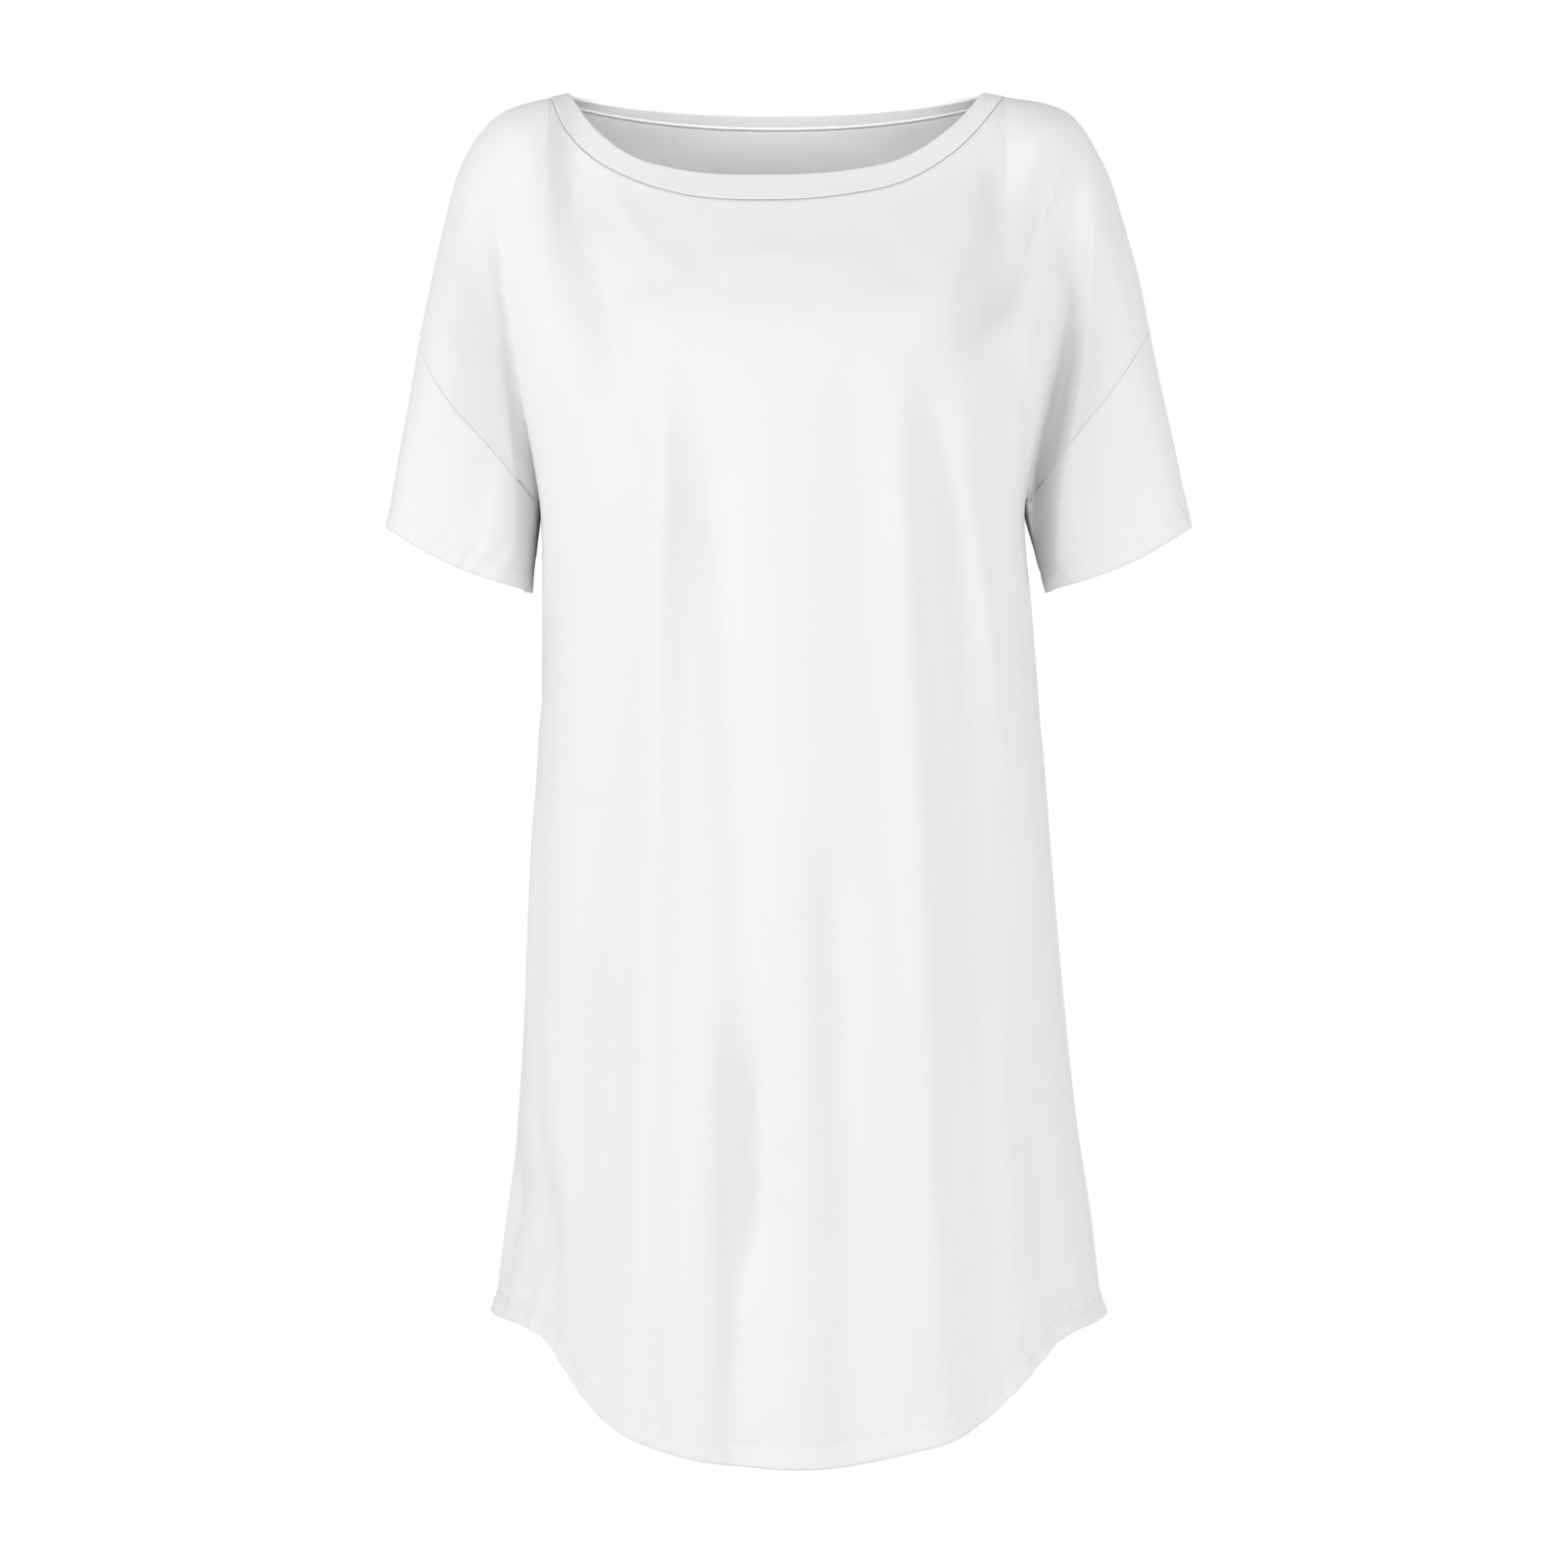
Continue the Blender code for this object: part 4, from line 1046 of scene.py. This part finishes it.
# %% Make the two sleeves
SLEEVE_COLUMNS = 64     # on each face of a sleeve
SLEEVE_ROWS = 46
CUFF_HEIGHTS = HEM_HEIGHTS[1:]
CUFF_SEED = {-1: 5, 1: 17}
CUFF_RIPPLE = 0.65      # a cuff ropes this much as strongly as the skirt's hem
SLEEVE_ALLOWANCE = 4.0  # width of the cloth behind the seam under the arm
OUTER_BEND = 8.0        # the higher, the sooner the columns run straight away from the outer line


def sleeve_face(side, face):
    """Places of one face of a sleeve, from its armhole row to its cuff row, outer line first."""
    share = eased(np.linspace(0.0, 1.0, SLEEVE_COLUMNS + 1))
    start = armhole(side, share)
    inner = "left" if side < 0 else "right"
    cuff_x = np.array([outer_x(CUFF_OUTER_Z, side), arm(inner, CUFF_INNER_Z)])
    cuff = np.stack([cuff_x[0] + (cuff_x[1] - cuff_x[0]) * share,
                     CUFF_OUTER_Z + (CUFF_INNER_Z - CUFF_OUTER_Z) * share], axis=-1)
    cuff[:, 1] += np.sin(np.pi * share) * (-CUFF_DROP if face == "front" else CUFF_RISE)
    length = np.linalg.norm(cuff - start, axis=-1)
    near_cuff = 1.0 - np.array(CUFF_HEIGHTS + (0.0,))[:, None] / length
    down = np.linspace(0.0, 1.0, SLEEVE_ROWS + 1)[:-1, None] * near_cuff[0]
    down = np.concatenate([down, near_cuff])[..., None]
    flat = start + (cuff - start) * down
    bend = outer_x(flat[:, 0, 1], side) - flat[:, 0, 0]
    flat[..., 0] += bend[:, None] * (1.0 - share) ** OUTER_BEND
    flat[:, -1, 0] = arm(inner, flat[:, -1, 1])
    return flat


def sleeve_skin(side):
    """The skin of a sleeve, from the underarm seam round the front, the outer line and the back."""
    skins = []
    for face in ("front", "back"):
        flat = sleeve_face(side, face)
        points, normal = creased(flat, face)
        points[:, 0, 1] = 0.0
        normal[0, -1] = underarm_normal(-side)
        skins.append(np.concatenate([points, normal], axis=-1))
    front, back = skins
    skin = np.concatenate([front[:, ::-1], back[:, 1:]], axis=1)
    along = lengths(skin[..., :3], 1)
    up = lengths(skin[::-1, :, :3], 0)[::-1]
    low = up < RIPPLE_REACH
    ripple = np.where(low, hem_relief(along, up, CUFF_SEED[side]), 0.0)
    skin[..., :3] += skin[..., 3:] * (CUFF_RIPPLE * ripple * calm_at_seams(along))[..., None]
    return skin


def make_sleeve(name, skin):
    """A sleeve with its cuff turned up, a rolled armhole seam and a narrow seam under the arm."""
    skin = turn_seam(turn_hem(skin), "top")
    for side in ("left", "right"):
        skin = turn_seam(skin, side, SLEEVE_ALLOWANCE)
    return make_cloth(name, skin)


sleeves = {side: sleeve_skin(side) for side in (-1, 1)}
left_sleeve = make_sleeve("left_sleeve", sleeves[-1])
right_sleeve = make_sleeve("right_sleeve", sleeves[1])

# %% [markdown]
# ## The neckband
#
# The neckband is a strip of the same jersey, folded double along its length, stretched a little and
# sewn on, so that it lies flat against the neck. It is one long loop: up the outside, round the soft
# fold at the neck edge, down the inside, and both raw edges go down behind the neck seam. Along the
# seam the outside has a small round lip that hangs over, because the fine dark line of a real neck
# seam is the shadow under such a lip.

# %% Make the neckband
BAND_COLUMNS = 120      # on the front, and as many on the back
BAND_ROWS = 11          # above the lip
BAND_START = 0.12       # share of the way up the band where those rows begin
BAND_PROUD = 0.45       # the band stands this much above the body
LIP = ((0.080, -1.60), (0.078, -0.60), (0.028, 0.02), (0.040, 0.30), (0.082, 0.45))    # share, height
RAW_OUTSIDE = ((1.4, 1.72), (0.7, 1.70), (0.2, 1.66))    # below the seam and under the cloth, in mm
RAW_INSIDE = ((0.0, 1.90), (1.0, 1.90), (1.5, 1.75))     # the same for the other raw edge
FOLD_ROLL = 1.15        # radius of the fold at the neck edge
FOLD_ANGLES = np.radians((0.0, 35.0, 65.0, 90.0, 115.0, 145.0, 180.0))
BAND_CLOTH = 0.7        # thickness of the stretched jersey


def band_face(face):
    """The skin of the outside of the band, from the neck seam to the neck edge."""
    share = eased(np.linspace(0.0, 1.0, BAND_COLUMNS + 1))
    seam = neck_line(face, "seam", share)
    edge = neck_line(face, "edge", share)
    up = np.concatenate([[share for share, _ in LIP], np.linspace(BAND_START, 1.0, BAND_ROWS)])
    flat = seam + (edge - seam) * up[:, None, None]
    flat[:, [0, -1], 1] = outer_z(flat[:, [0, -1], 0])
    points, normal = on_form(flat, face)
    points[:, [0, -1], 1] = 0.0
    return np.concatenate([points, normal], axis=-1)


def make_neckband(name):
    """The band as one closed loop of columns, from one raw edge to the other."""
    front, back = band_face("front"), band_face("back")
    skin = np.concatenate([front, back[:, -2:0:-1]], axis=1)
    points, normal = skin[..., :3], skin[..., 3:]
    proud = np.full(len(skin), BAND_PROUD)
    proud[:len(LIP)] = [height for _, height in LIP]
    down = points[0] - points[len(LIP)]
    down -= (down * normal[0]).sum(axis=-1, keepdims=True) * normal[0]
    down /= np.linalg.norm(down, axis=-1, keepdims=True)
    seam = points[0]
    raw_outside, raw_inside = (
        facing([seam + down * below - normal[0] * under for below, under in edge], normal[0])
        for edge in (RAW_OUTSIDE, RAW_INSIDE)
    )
    points = points + normal * proud[:, None, None]
    outside = np.concatenate([points, normal], axis=-1)
    up = points[-1] - points[-2]
    up /= np.linalg.norm(up, axis=-1, keepdims=True)
    fold = facing([points[-1] - up * FOLD_ROLL * (1.0 - np.sin(a))
                   - normal[-1] * FOLD_ROLL * (1.0 - np.cos(a)) for a in FOLD_ANGLES], normal[-1])
    inside = outside[-3:len(LIP) - 1:-1].copy()
    inside[..., :3] -= inside[..., 3:] * 2.0 * FOLD_ROLL
    skin = np.concatenate([raw_outside, outside[:-2], fold, inside, raw_inside])
    return make_cloth(name, skin, closed=True, thickness=BAND_CLOTH)


neck_band = make_neckband("neck_band")

# %% [markdown]
# ## Stitches
#
# Hems of jersey are sewn with a twin needle: two level rows of stitches on the outside. The rows are
# paths on the cloth, and Geometry Nodes set one stitch after another along each path. A stitch is a
# tiny rounded bar of thread, so a low sphere, stretched, is enough. The tree has its sizes as named
# inputs, and its seed is fixed, so that every run gives the same slightly uneven rows.

# %% A Geometry Nodes tree that sews along a path
def socket(tree, name, kind, value, low=None, high=None):
    """A named input of a tree."""
    made = tree.interface.new_socket(name=name, in_out="INPUT", socket_type=kind)
    if value is not None:
        made.default_value = value
    if low is not None:
        made.min_value, made.max_value = low, high
    return made


def stitch_tree():
    """Resample the path by the pitch, set a bar on each point, turn it a little, make it real."""
    tree = bpy.data.node_groups.new("row of stitches", "GeometryNodeTree")
    tree.interface.new_socket(name="Path", in_out="INPUT", socket_type="NodeSocketGeometry")
    socket(tree, "Stitch Pitch", "NodeSocketFloat", 0.0030, 0.0005, 0.02)
    socket(tree, "Stitch Length", "NodeSocketFloat", 0.0024, 0.0005, 0.02)
    socket(tree, "Thread Thickness", "NodeSocketFloat", 0.0004, 0.0001, 0.005)
    socket(tree, "Unevenness", "NodeSocketFloat", 0.06, 0.0, 0.5)
    socket(tree, "Seed", "NodeSocketInt", 4)
    socket(tree, "Thread", "NodeSocketMaterial", None)
    tree.interface.new_socket(name="Stitches", in_out="OUTPUT", socket_type="NodeSocketGeometry")
    add, link = tree.nodes.new, tree.links.new
    given, done = add("NodeGroupInput"), add("NodeGroupOutput")
    path = add("GeometryNodeMeshToCurve")
    resample = add("GeometryNodeResampleCurve")
    resample.mode = "LENGTH"
    link(given.outputs["Path"], path.inputs["Mesh"])
    link(path.outputs["Curve"], resample.inputs["Curve"])
    link(given.outputs["Stitch Pitch"], resample.inputs["Length"])
    tangent = add("GeometryNodeInputTangent")
    lay = add("FunctionNodeAlignRotationToVector")
    lay.axis = "X"
    link(tangent.outputs["Tangent"], lay.inputs["Vector"])
    jitter = add("FunctionNodeRandomValue")
    jitter.data_type = "FLOAT_VECTOR"
    spread = add("ShaderNodeVectorMath")
    spread.operation = "SCALE"
    spread.inputs[0].default_value = (1.0, 1.0, 1.0)
    opposite = add("ShaderNodeVectorMath")
    opposite.operation = "SCALE"
    opposite.inputs["Scale"].default_value = -1.0
    link(given.outputs["Unevenness"], spread.inputs["Scale"])
    link(spread.outputs["Vector"], opposite.inputs[0])
    link(opposite.outputs["Vector"], jitter.inputs["Min"])
    link(spread.outputs["Vector"], jitter.inputs["Max"])
    link(given.outputs["Seed"], jitter.inputs["Seed"])
    bar = add("GeometryNodeMeshUVSphere")
    bar.inputs["Segments"].default_value = 6
    bar.inputs["Rings"].default_value = 4
    bar.inputs["Radius"].default_value = 0.5
    size = add("ShaderNodeCombineXYZ")
    link(given.outputs["Stitch Length"], size.inputs["X"])
    link(given.outputs["Thread Thickness"], size.inputs["Y"])
    link(given.outputs["Thread Thickness"], size.inputs["Z"])
    place = add("GeometryNodeInstanceOnPoints")
    link(resample.outputs["Curve"], place.inputs["Points"])
    link(bar.outputs["Mesh"], place.inputs["Instance"])
    link(lay.outputs["Rotation"], place.inputs["Rotation"])
    link(size.outputs["Vector"], place.inputs["Scale"])
    turn = add("GeometryNodeRotateInstances")
    link(place.outputs["Instances"], turn.inputs["Instances"])
    link(jitter.outputs["Value"], turn.inputs["Rotation"])
    real = add("GeometryNodeRealizeInstances")
    thread = add("GeometryNodeSetMaterial")
    link(turn.outputs["Instances"], real.inputs["Geometry"])
    link(real.outputs["Geometry"], thread.inputs["Geometry"])
    link(given.outputs["Thread"], thread.inputs["Material"])
    link(thread.outputs["Geometry"], done.inputs["Stitches"])
    return tree


sewing = stitch_tree()
sewing_inputs = {item.name: item.identifier for item in sewing.interface.items_tree
                 if item.in_out == "INPUT"}
print("inputs of the sewing tree:", ", ".join(sewing_inputs))

# %% [markdown]
# ## The knit of the jersey
#
# Jersey is a plain knit: columns of small V-shaped loops, about 0.7 mm wide, so fine that they show
# only from near by. It could be painted as a picture, but a rule never repeats and stays sharp from
# any distance. Both cloths and the thread share one shader group that makes that grain as a height,
# on the UV map in metres, with slow unevenness of the cloth under it. The group puts out only a
# colour and a height.

# %% A shader group for knitted cotton
COURSE_RATE = 1.25      # rows of loops for each wale width
LOOP_LEAN = 0.7         # how far a loop leans up towards the middle of its wale
LOOP_SHARE = 0.35       # height of the loops against that of the wales
GRAIN_HEIGHT = 0.00004      # metres
UNEVEN_HEIGHT = 0.0006      # metres
UNEVEN_SCALE = 38.0         # waves of the slow unevenness to the metre
SLUB_SCALE = 900.0          # specks of thicker yarn to the metre
MIX_A, MIX_B, MIX_RESULT = 6, 7, 2    # the colour sockets of a Mix node


def knit_group():
    """Loops and wales as a height, and two whites of cotton mixed speck by speck."""
    group = bpy.data.node_groups.new("knitted cotton", "ShaderNodeTree")
    socket(group, "Cloth Place", "NodeSocketVector", None)
    socket(group, "Wale Width", "NodeSocketFloat", 0.00075, 0.0001, 0.01)
    socket(group, "Grain", "NodeSocketFloat", 1.0, 0.0, 4.0)
    socket(group, "Unevenness", "NodeSocketFloat", 1.0, 0.0, 4.0)
    socket(group, "Cotton", "NodeSocketColor", (0.9, 0.9, 0.9, 1.0))
    socket(group, "Shade", "NodeSocketColor", (0.86, 0.86, 0.86, 1.0))
    group.interface.new_socket(name="Colour", in_out="OUTPUT", socket_type="NodeSocketColor")
    group.interface.new_socket(name="Height", in_out="OUTPUT", socket_type="NodeSocketFloat")
    add, link = group.nodes.new, group.links.new
    given, done = add("NodeGroupInput"), add("NodeGroupOutput")

    def maths(operation, a, b=None):
        node = add("ShaderNodeMath")
        node.operation = operation
        for at, value in enumerate((a, b)):
            if value is None:
                continue
            if isinstance(value, float):
                node.inputs[at].default_value = value
            else:
                link(value, node.inputs[at])
        return node.outputs[0]

    split = add("ShaderNodeSeparateXYZ")
    link(given.outputs["Cloth Place"], split.inputs["Vector"])
    wales = maths("DIVIDE", split.outputs["X"], given.outputs["Wale Width"])
    courses = maths("MULTIPLY", split.outputs["Y"], COURSE_RATE)
    courses = maths("DIVIDE", courses, given.outputs["Wale Width"])
    # distance from the middle of a wale, 0 to 1, and a loop that leans up towards that middle
    off_middle = maths("MULTIPLY", maths("PINGPONG", wales, 0.5), 2.0)
    lean = maths("ADD", courses, maths("MULTIPLY", off_middle, LOOP_LEAN))
    loops = maths("SINE", maths("MULTIPLY", lean, 2.0 * np.pi))
    ribs = maths("SINE", maths("MULTIPLY", off_middle, np.pi))
    grain = maths("MULTIPLY", maths("ADD", ribs, maths("MULTIPLY", loops, LOOP_SHARE)), GRAIN_HEIGHT)
    slow = add("ShaderNodeTexNoise")
    slow.inputs["Scale"].default_value = UNEVEN_SCALE
    slow.inputs["Detail"].default_value = 3.0
    slow.inputs["Roughness"].default_value = 0.45
    link(given.outputs["Cloth Place"], slow.inputs["Vector"])
    uneven = maths("MULTIPLY", slow.outputs["Fac"], given.outputs["Unevenness"])
    uneven = maths("MULTIPLY", uneven, UNEVEN_HEIGHT)
    height = maths("ADD", maths("MULTIPLY", grain, given.outputs["Grain"]), uneven)
    slub = add("ShaderNodeTexNoise")
    slub.inputs["Scale"].default_value = SLUB_SCALE
    slub.inputs["Detail"].default_value = 1.0
    link(given.outputs["Cloth Place"], slub.inputs["Vector"])
    mix = add("ShaderNodeMix")
    mix.data_type = "RGBA"
    link(slub.outputs["Fac"], mix.inputs["Factor"])
    link(given.outputs["Cotton"], mix.inputs[MIX_A])
    link(given.outputs["Shade"], mix.inputs[MIX_B])
    link(mix.outputs[MIX_RESULT], done.inputs["Colour"])
    link(height, done.inputs["Height"])
    return group


knitted_cotton = knit_group()
print("nodes in the knit:", len(knitted_cotton.nodes))

# %% [markdown]
# ## Three finishes of cotton
#
# The body of the dress, its neckband and the sewing thread are the same cotton, knitted or twisted more
# or less finely. The Principled shader, with its roughness and the soft sheen of loose fibres, stays in
# each material, where each number of its own is set on its own socket. A fabric could also be made
# with a special cloth shader, but this one can be carried over to other programs.

# %% Jersey, neckband jersey and thread
def cotton(name, wale_width, grain, unevenness, white, shade, roughness, sheen):
    """A finish of white cotton, with the knit of this wale width."""
    finish = bpy.data.materials.new(name)
    finish.use_nodes = True
    nodes, links = finish.node_tree.nodes, finish.node_tree.links
    shader = nodes["Principled BSDF"]
    shader.inputs["Roughness"].default_value = roughness
    shader.inputs["Sheen Weight"].default_value = sheen
    shader.inputs["Sheen Roughness"].default_value = 0.6
    shader.inputs["Specular IOR Level"].default_value = 0.25
    place = nodes.new("ShaderNodeUVMap")
    place.uv_map = "cloth"
    knit = nodes.new("ShaderNodeGroup")
    knit.node_tree = knitted_cotton
    knit.inputs["Wale Width"].default_value = wale_width
    knit.inputs["Grain"].default_value = grain
    knit.inputs["Unevenness"].default_value = unevenness
    knit.inputs["Cotton"].default_value = (*white, 1.0)
    knit.inputs["Shade"].default_value = (*shade, 1.0)
    bump = nodes.new("ShaderNodeBump")
    bump.inputs["Distance"].default_value = 1.0
    bump.inputs["Strength"].default_value = 1.0
    links.new(place.outputs["UV"], knit.inputs["Cloth Place"])
    links.new(knit.outputs["Colour"], shader.inputs["Base Color"])
    links.new(knit.outputs["Height"], bump.inputs["Height"])
    links.new(bump.outputs["Normal"], shader.inputs["Normal"])
    return finish


WHITE, SHADE = (0.92, 0.92, 0.92), (0.87, 0.87, 0.87)
THREAD_WHITE, THREAD_SHADE = (0.93, 0.93, 0.93), (0.88, 0.88, 0.88)
white_jersey = cotton("white jersey", 0.00075, 1.0, 1.0, WHITE, SHADE, 0.86, 0.12)
band_jersey = cotton("white neckband jersey", 0.00070, 1.0, 0.5, WHITE, SHADE, 0.84, 0.12)
sewing_thread = cotton("white sewing thread", 0.0004, 0.5, 0.0, THREAD_WHITE, THREAD_SHADE, 0.55, 0.05)
for piece in (front_panel, back_panel, left_sleeve, right_sleeve):
    piece.data.materials.append(white_jersey)
neck_band.data.materials.append(band_jersey)
print("finishes:", white_jersey.name, "/", band_jersey.name, "/", sewing_thread.name)

# %% [markdown]
# ## Sewing the hems
#
# The paths of the stitches are read off the skins: a line of points at the height of each needle row,
# a hair above the cloth. A modifier's inputs are set by the identifiers of its sockets, and the result
# is turned into a plain mesh at once, so that nothing has to be evaluated again later.

# %% Two rows of stitches along every hem
STITCH_LIFT = 0.12      # millimetres from the cloth to the middle of the thread
STITCH = {              # metres, and the turn of a stitch in radians
    "Stitch Pitch": 0.0030,
    "Stitch Length": 0.0025,
    "Thread Thickness": 0.00042,
    "Unevenness": 0.05,
}


def row_at(skin, heights, row):
    """The line of points of a skin at one of the heights of its hem rows."""
    at = len(skin) - 1 - (len(heights) - heights.index(row))
    return skin[at, :, :3] + skin[at, :, 3:] * STITCH_LIFT


def sew(name, paths, seed):
    """Stitches along some lines of points, as one plain mesh."""
    points, edges = [], []
    for path in paths:
        start = len(points)
        points += (path * MM).tolist()
        edges += [(start + i, start + i + 1) for i in range(len(path) - 1)]
    lines = bpy.data.meshes.new(name + "_path")
    lines.from_pydata(points, edges, [])
    guide = bpy.data.objects.new(name + "_path", lines)
    bpy.context.scene.collection.objects.link(guide)
    machine = guide.modifiers.new("sewing", "NODES")
    machine.node_group = sewing
    for setting, value in {**STITCH, "Seed": seed, "Thread": sewing_thread}.items():
        machine[sewing_inputs[setting]] = value
    evaluated = guide.evaluated_get(bpy.context.evaluated_depsgraph_get())
    mesh = bpy.data.meshes.new_from_object(evaluated)
    mesh.name = name
    bpy.data.objects.remove(guide)
    bpy.data.meshes.remove(lines)
    stitches = bpy.data.objects.new(name, mesh)
    bpy.context.scene.collection.objects.link(stitches)
    print(f"{name}: {len(mesh.polygons)} faces")
    return stitches


hem_paths = [row_at(skin, HEM_HEIGHTS, row)[2:-2] for skin in panels.values() for row in NEEDLE_ROWS]
cuff_paths = [row_at(skin, CUFF_HEIGHTS, row)[1:-1] for skin in sleeves.values() for row in NEEDLE_ROWS]
hem_stitches = sew("hem_stitches", hem_paths, 4)
cuff_stitches = sew("cuff_stitches", cuff_paths, 9)

# %% [markdown]
# ## A pale floor
#
# Below the dress lies a round pale floor. It throws a little light up into the folds and the hem, as
# the floor of a studio does. A plane would do as well, but its corners could come into a view from
# above.

# %% Floor
FLOOR_Z = -1.38
FLOOR_RADIUS = 2.1
FLOOR_SIDES = 96
rim = np.linspace(0.0, 2.0 * np.pi, FLOOR_SIDES, endpoint=False)
floor_mesh = bpy.data.meshes.new("floor")
floor_mesh.from_pydata([(FLOOR_RADIUS * np.cos(a), FLOOR_RADIUS * np.sin(a), FLOOR_Z) for a in rim], [],
                       [tuple(range(FLOOR_SIDES))])
floor = bpy.data.objects.new("floor", floor_mesh)
bpy.context.scene.collection.objects.link(floor)
pale = bpy.data.materials.new("pale floor")
pale.use_nodes = True
pale.node_tree.nodes["Principled BSDF"].inputs["Base Color"].default_value = (0.85, 0.85, 0.85, 1.0)
pale.node_tree.nodes["Principled BSDF"].inputs["Roughness"].default_value = 0.9
floor_mesh.materials.append(pale)
print(f"floor: {2.0 * FLOOR_RADIUS:.1f} m across")

# %% [markdown]
# ## A white surround
#
# A white garment on white is lit from everywhere. A big white room could be built round it, but the
# world's background does the same with less work. It is darker for the cloth than for the camera, so
# that the cloth is never lost against it.

# %% Surround
SURROUND = 0.47         # strength of the light that the cloth gets from all round

world = bpy.data.worlds.new("white surround")
bpy.context.scene.world = world
world.use_nodes = True
nodes, links = world.node_tree.nodes, world.node_tree.links
nodes.clear()
seen, soft = nodes.new("ShaderNodeBackground"), nodes.new("ShaderNodeBackground")
choose = nodes.new("ShaderNodeMixShader")
light_path, out = nodes.new("ShaderNodeLightPath"), nodes.new("ShaderNodeOutputWorld")
for background, strength in ((seen, 1.0), (soft, SURROUND)):
    background.inputs["Strength"].default_value = strength
    background.inputs["Color"].default_value = (1.0, 1.0, 1.0, 1.0)
links.new(light_path.outputs["Is Camera Ray"], choose.inputs["Fac"])
links.new(soft.outputs["Background"], choose.inputs[1])
links.new(seen.outputs["Background"], choose.inputs[2])
links.new(choose.outputs["Shader"], out.inputs["Surface"])
bpy.context.scene.view_settings.view_transform = "Standard"
print("surround:", SURROUND)

# %% [markdown]
# ## Lamps
#
# Soft folds show only where more light comes from one side than from the other. Two large soft lamps
# stand left and right of the camera, the left one stronger, one lights the right side along the cloth,
# and one comes from above on the left. A sun would draw hard shadows in the creases, so all of them
# are area lamps. A small fifth one in the neck opening stands in for the light that thin white jersey
# lets through to the inside of the back.

# %% Five soft lamps
def soft_lamp(name, place, towards, size, power):
    """A rectangular area lamp that faces a place."""
    lamp = bpy.data.lights.new(name, "AREA")
    lamp.shape = "RECTANGLE"
    lamp.size, lamp.size_y = size
    lamp.energy = power
    fixture = bpy.data.objects.new(name, lamp)
    fixture.location = place
    aim = np.array(towards) - np.array(place)
    side = np.cross(aim, (0.0, 0.0, 1.0))
    up = np.cross(side, aim)
    axes = np.stack([axis / np.linalg.norm(axis) for axis in (side, up, -aim)], axis=1)
    fixture.rotation_euler = mathutils.Matrix(axes.tolist()).to_euler()
    bpy.context.scene.collection.objects.link(fixture)
    return fixture


LARGE = (1.5, 1.5)
CHEST = (0.0, 0.0, -0.34)
soft_lamp("left soft lamp", (-1.99, -1.67, -0.10), CHEST, LARGE, 25.8)
soft_lamp("right soft lamp", (1.90, -1.77, -0.20), CHEST, LARGE, 19.0)
soft_lamp("right side lamp", (2.6, 0.0, -0.45), (0.0, 0.0, -0.45), LARGE, 7.5)
soft_lamp("high soft lamp", (-0.95, -1.5, 1.50), (0.0, 0.0, -0.30), LARGE, 10.5)
neck_lamp = soft_lamp("lamp inside the neck", (-0.005, 0.0, -0.008), (-0.005, 0.12, -0.01),
                      (0.20, 0.03), 0.048)
neck_lamp.visible_camera = False
print("lamps:", ", ".join(lamp.name for lamp in bpy.data.lights))

# %% [markdown]
# ## Handing the pieces over
#
# Every piece rides on the one body of the dress, and the solid that it stands for is hidden. The rows
# of stitches ride on the same body.

# %% Hand over
for piece, node, finish in (
    (front_panel, "front", "jersey"),
    (back_panel, "back", "jersey"),
    (left_sleeve, "sleeve_left", "jersey"),
    (right_sleeve, "sleeve_right", "jersey"),
    (neck_band, "neckband", "neckband"),
):
    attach(piece, "root")
    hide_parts(node)
for stitches in (hem_stitches, cuff_stitches):
    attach(stitches, "root")
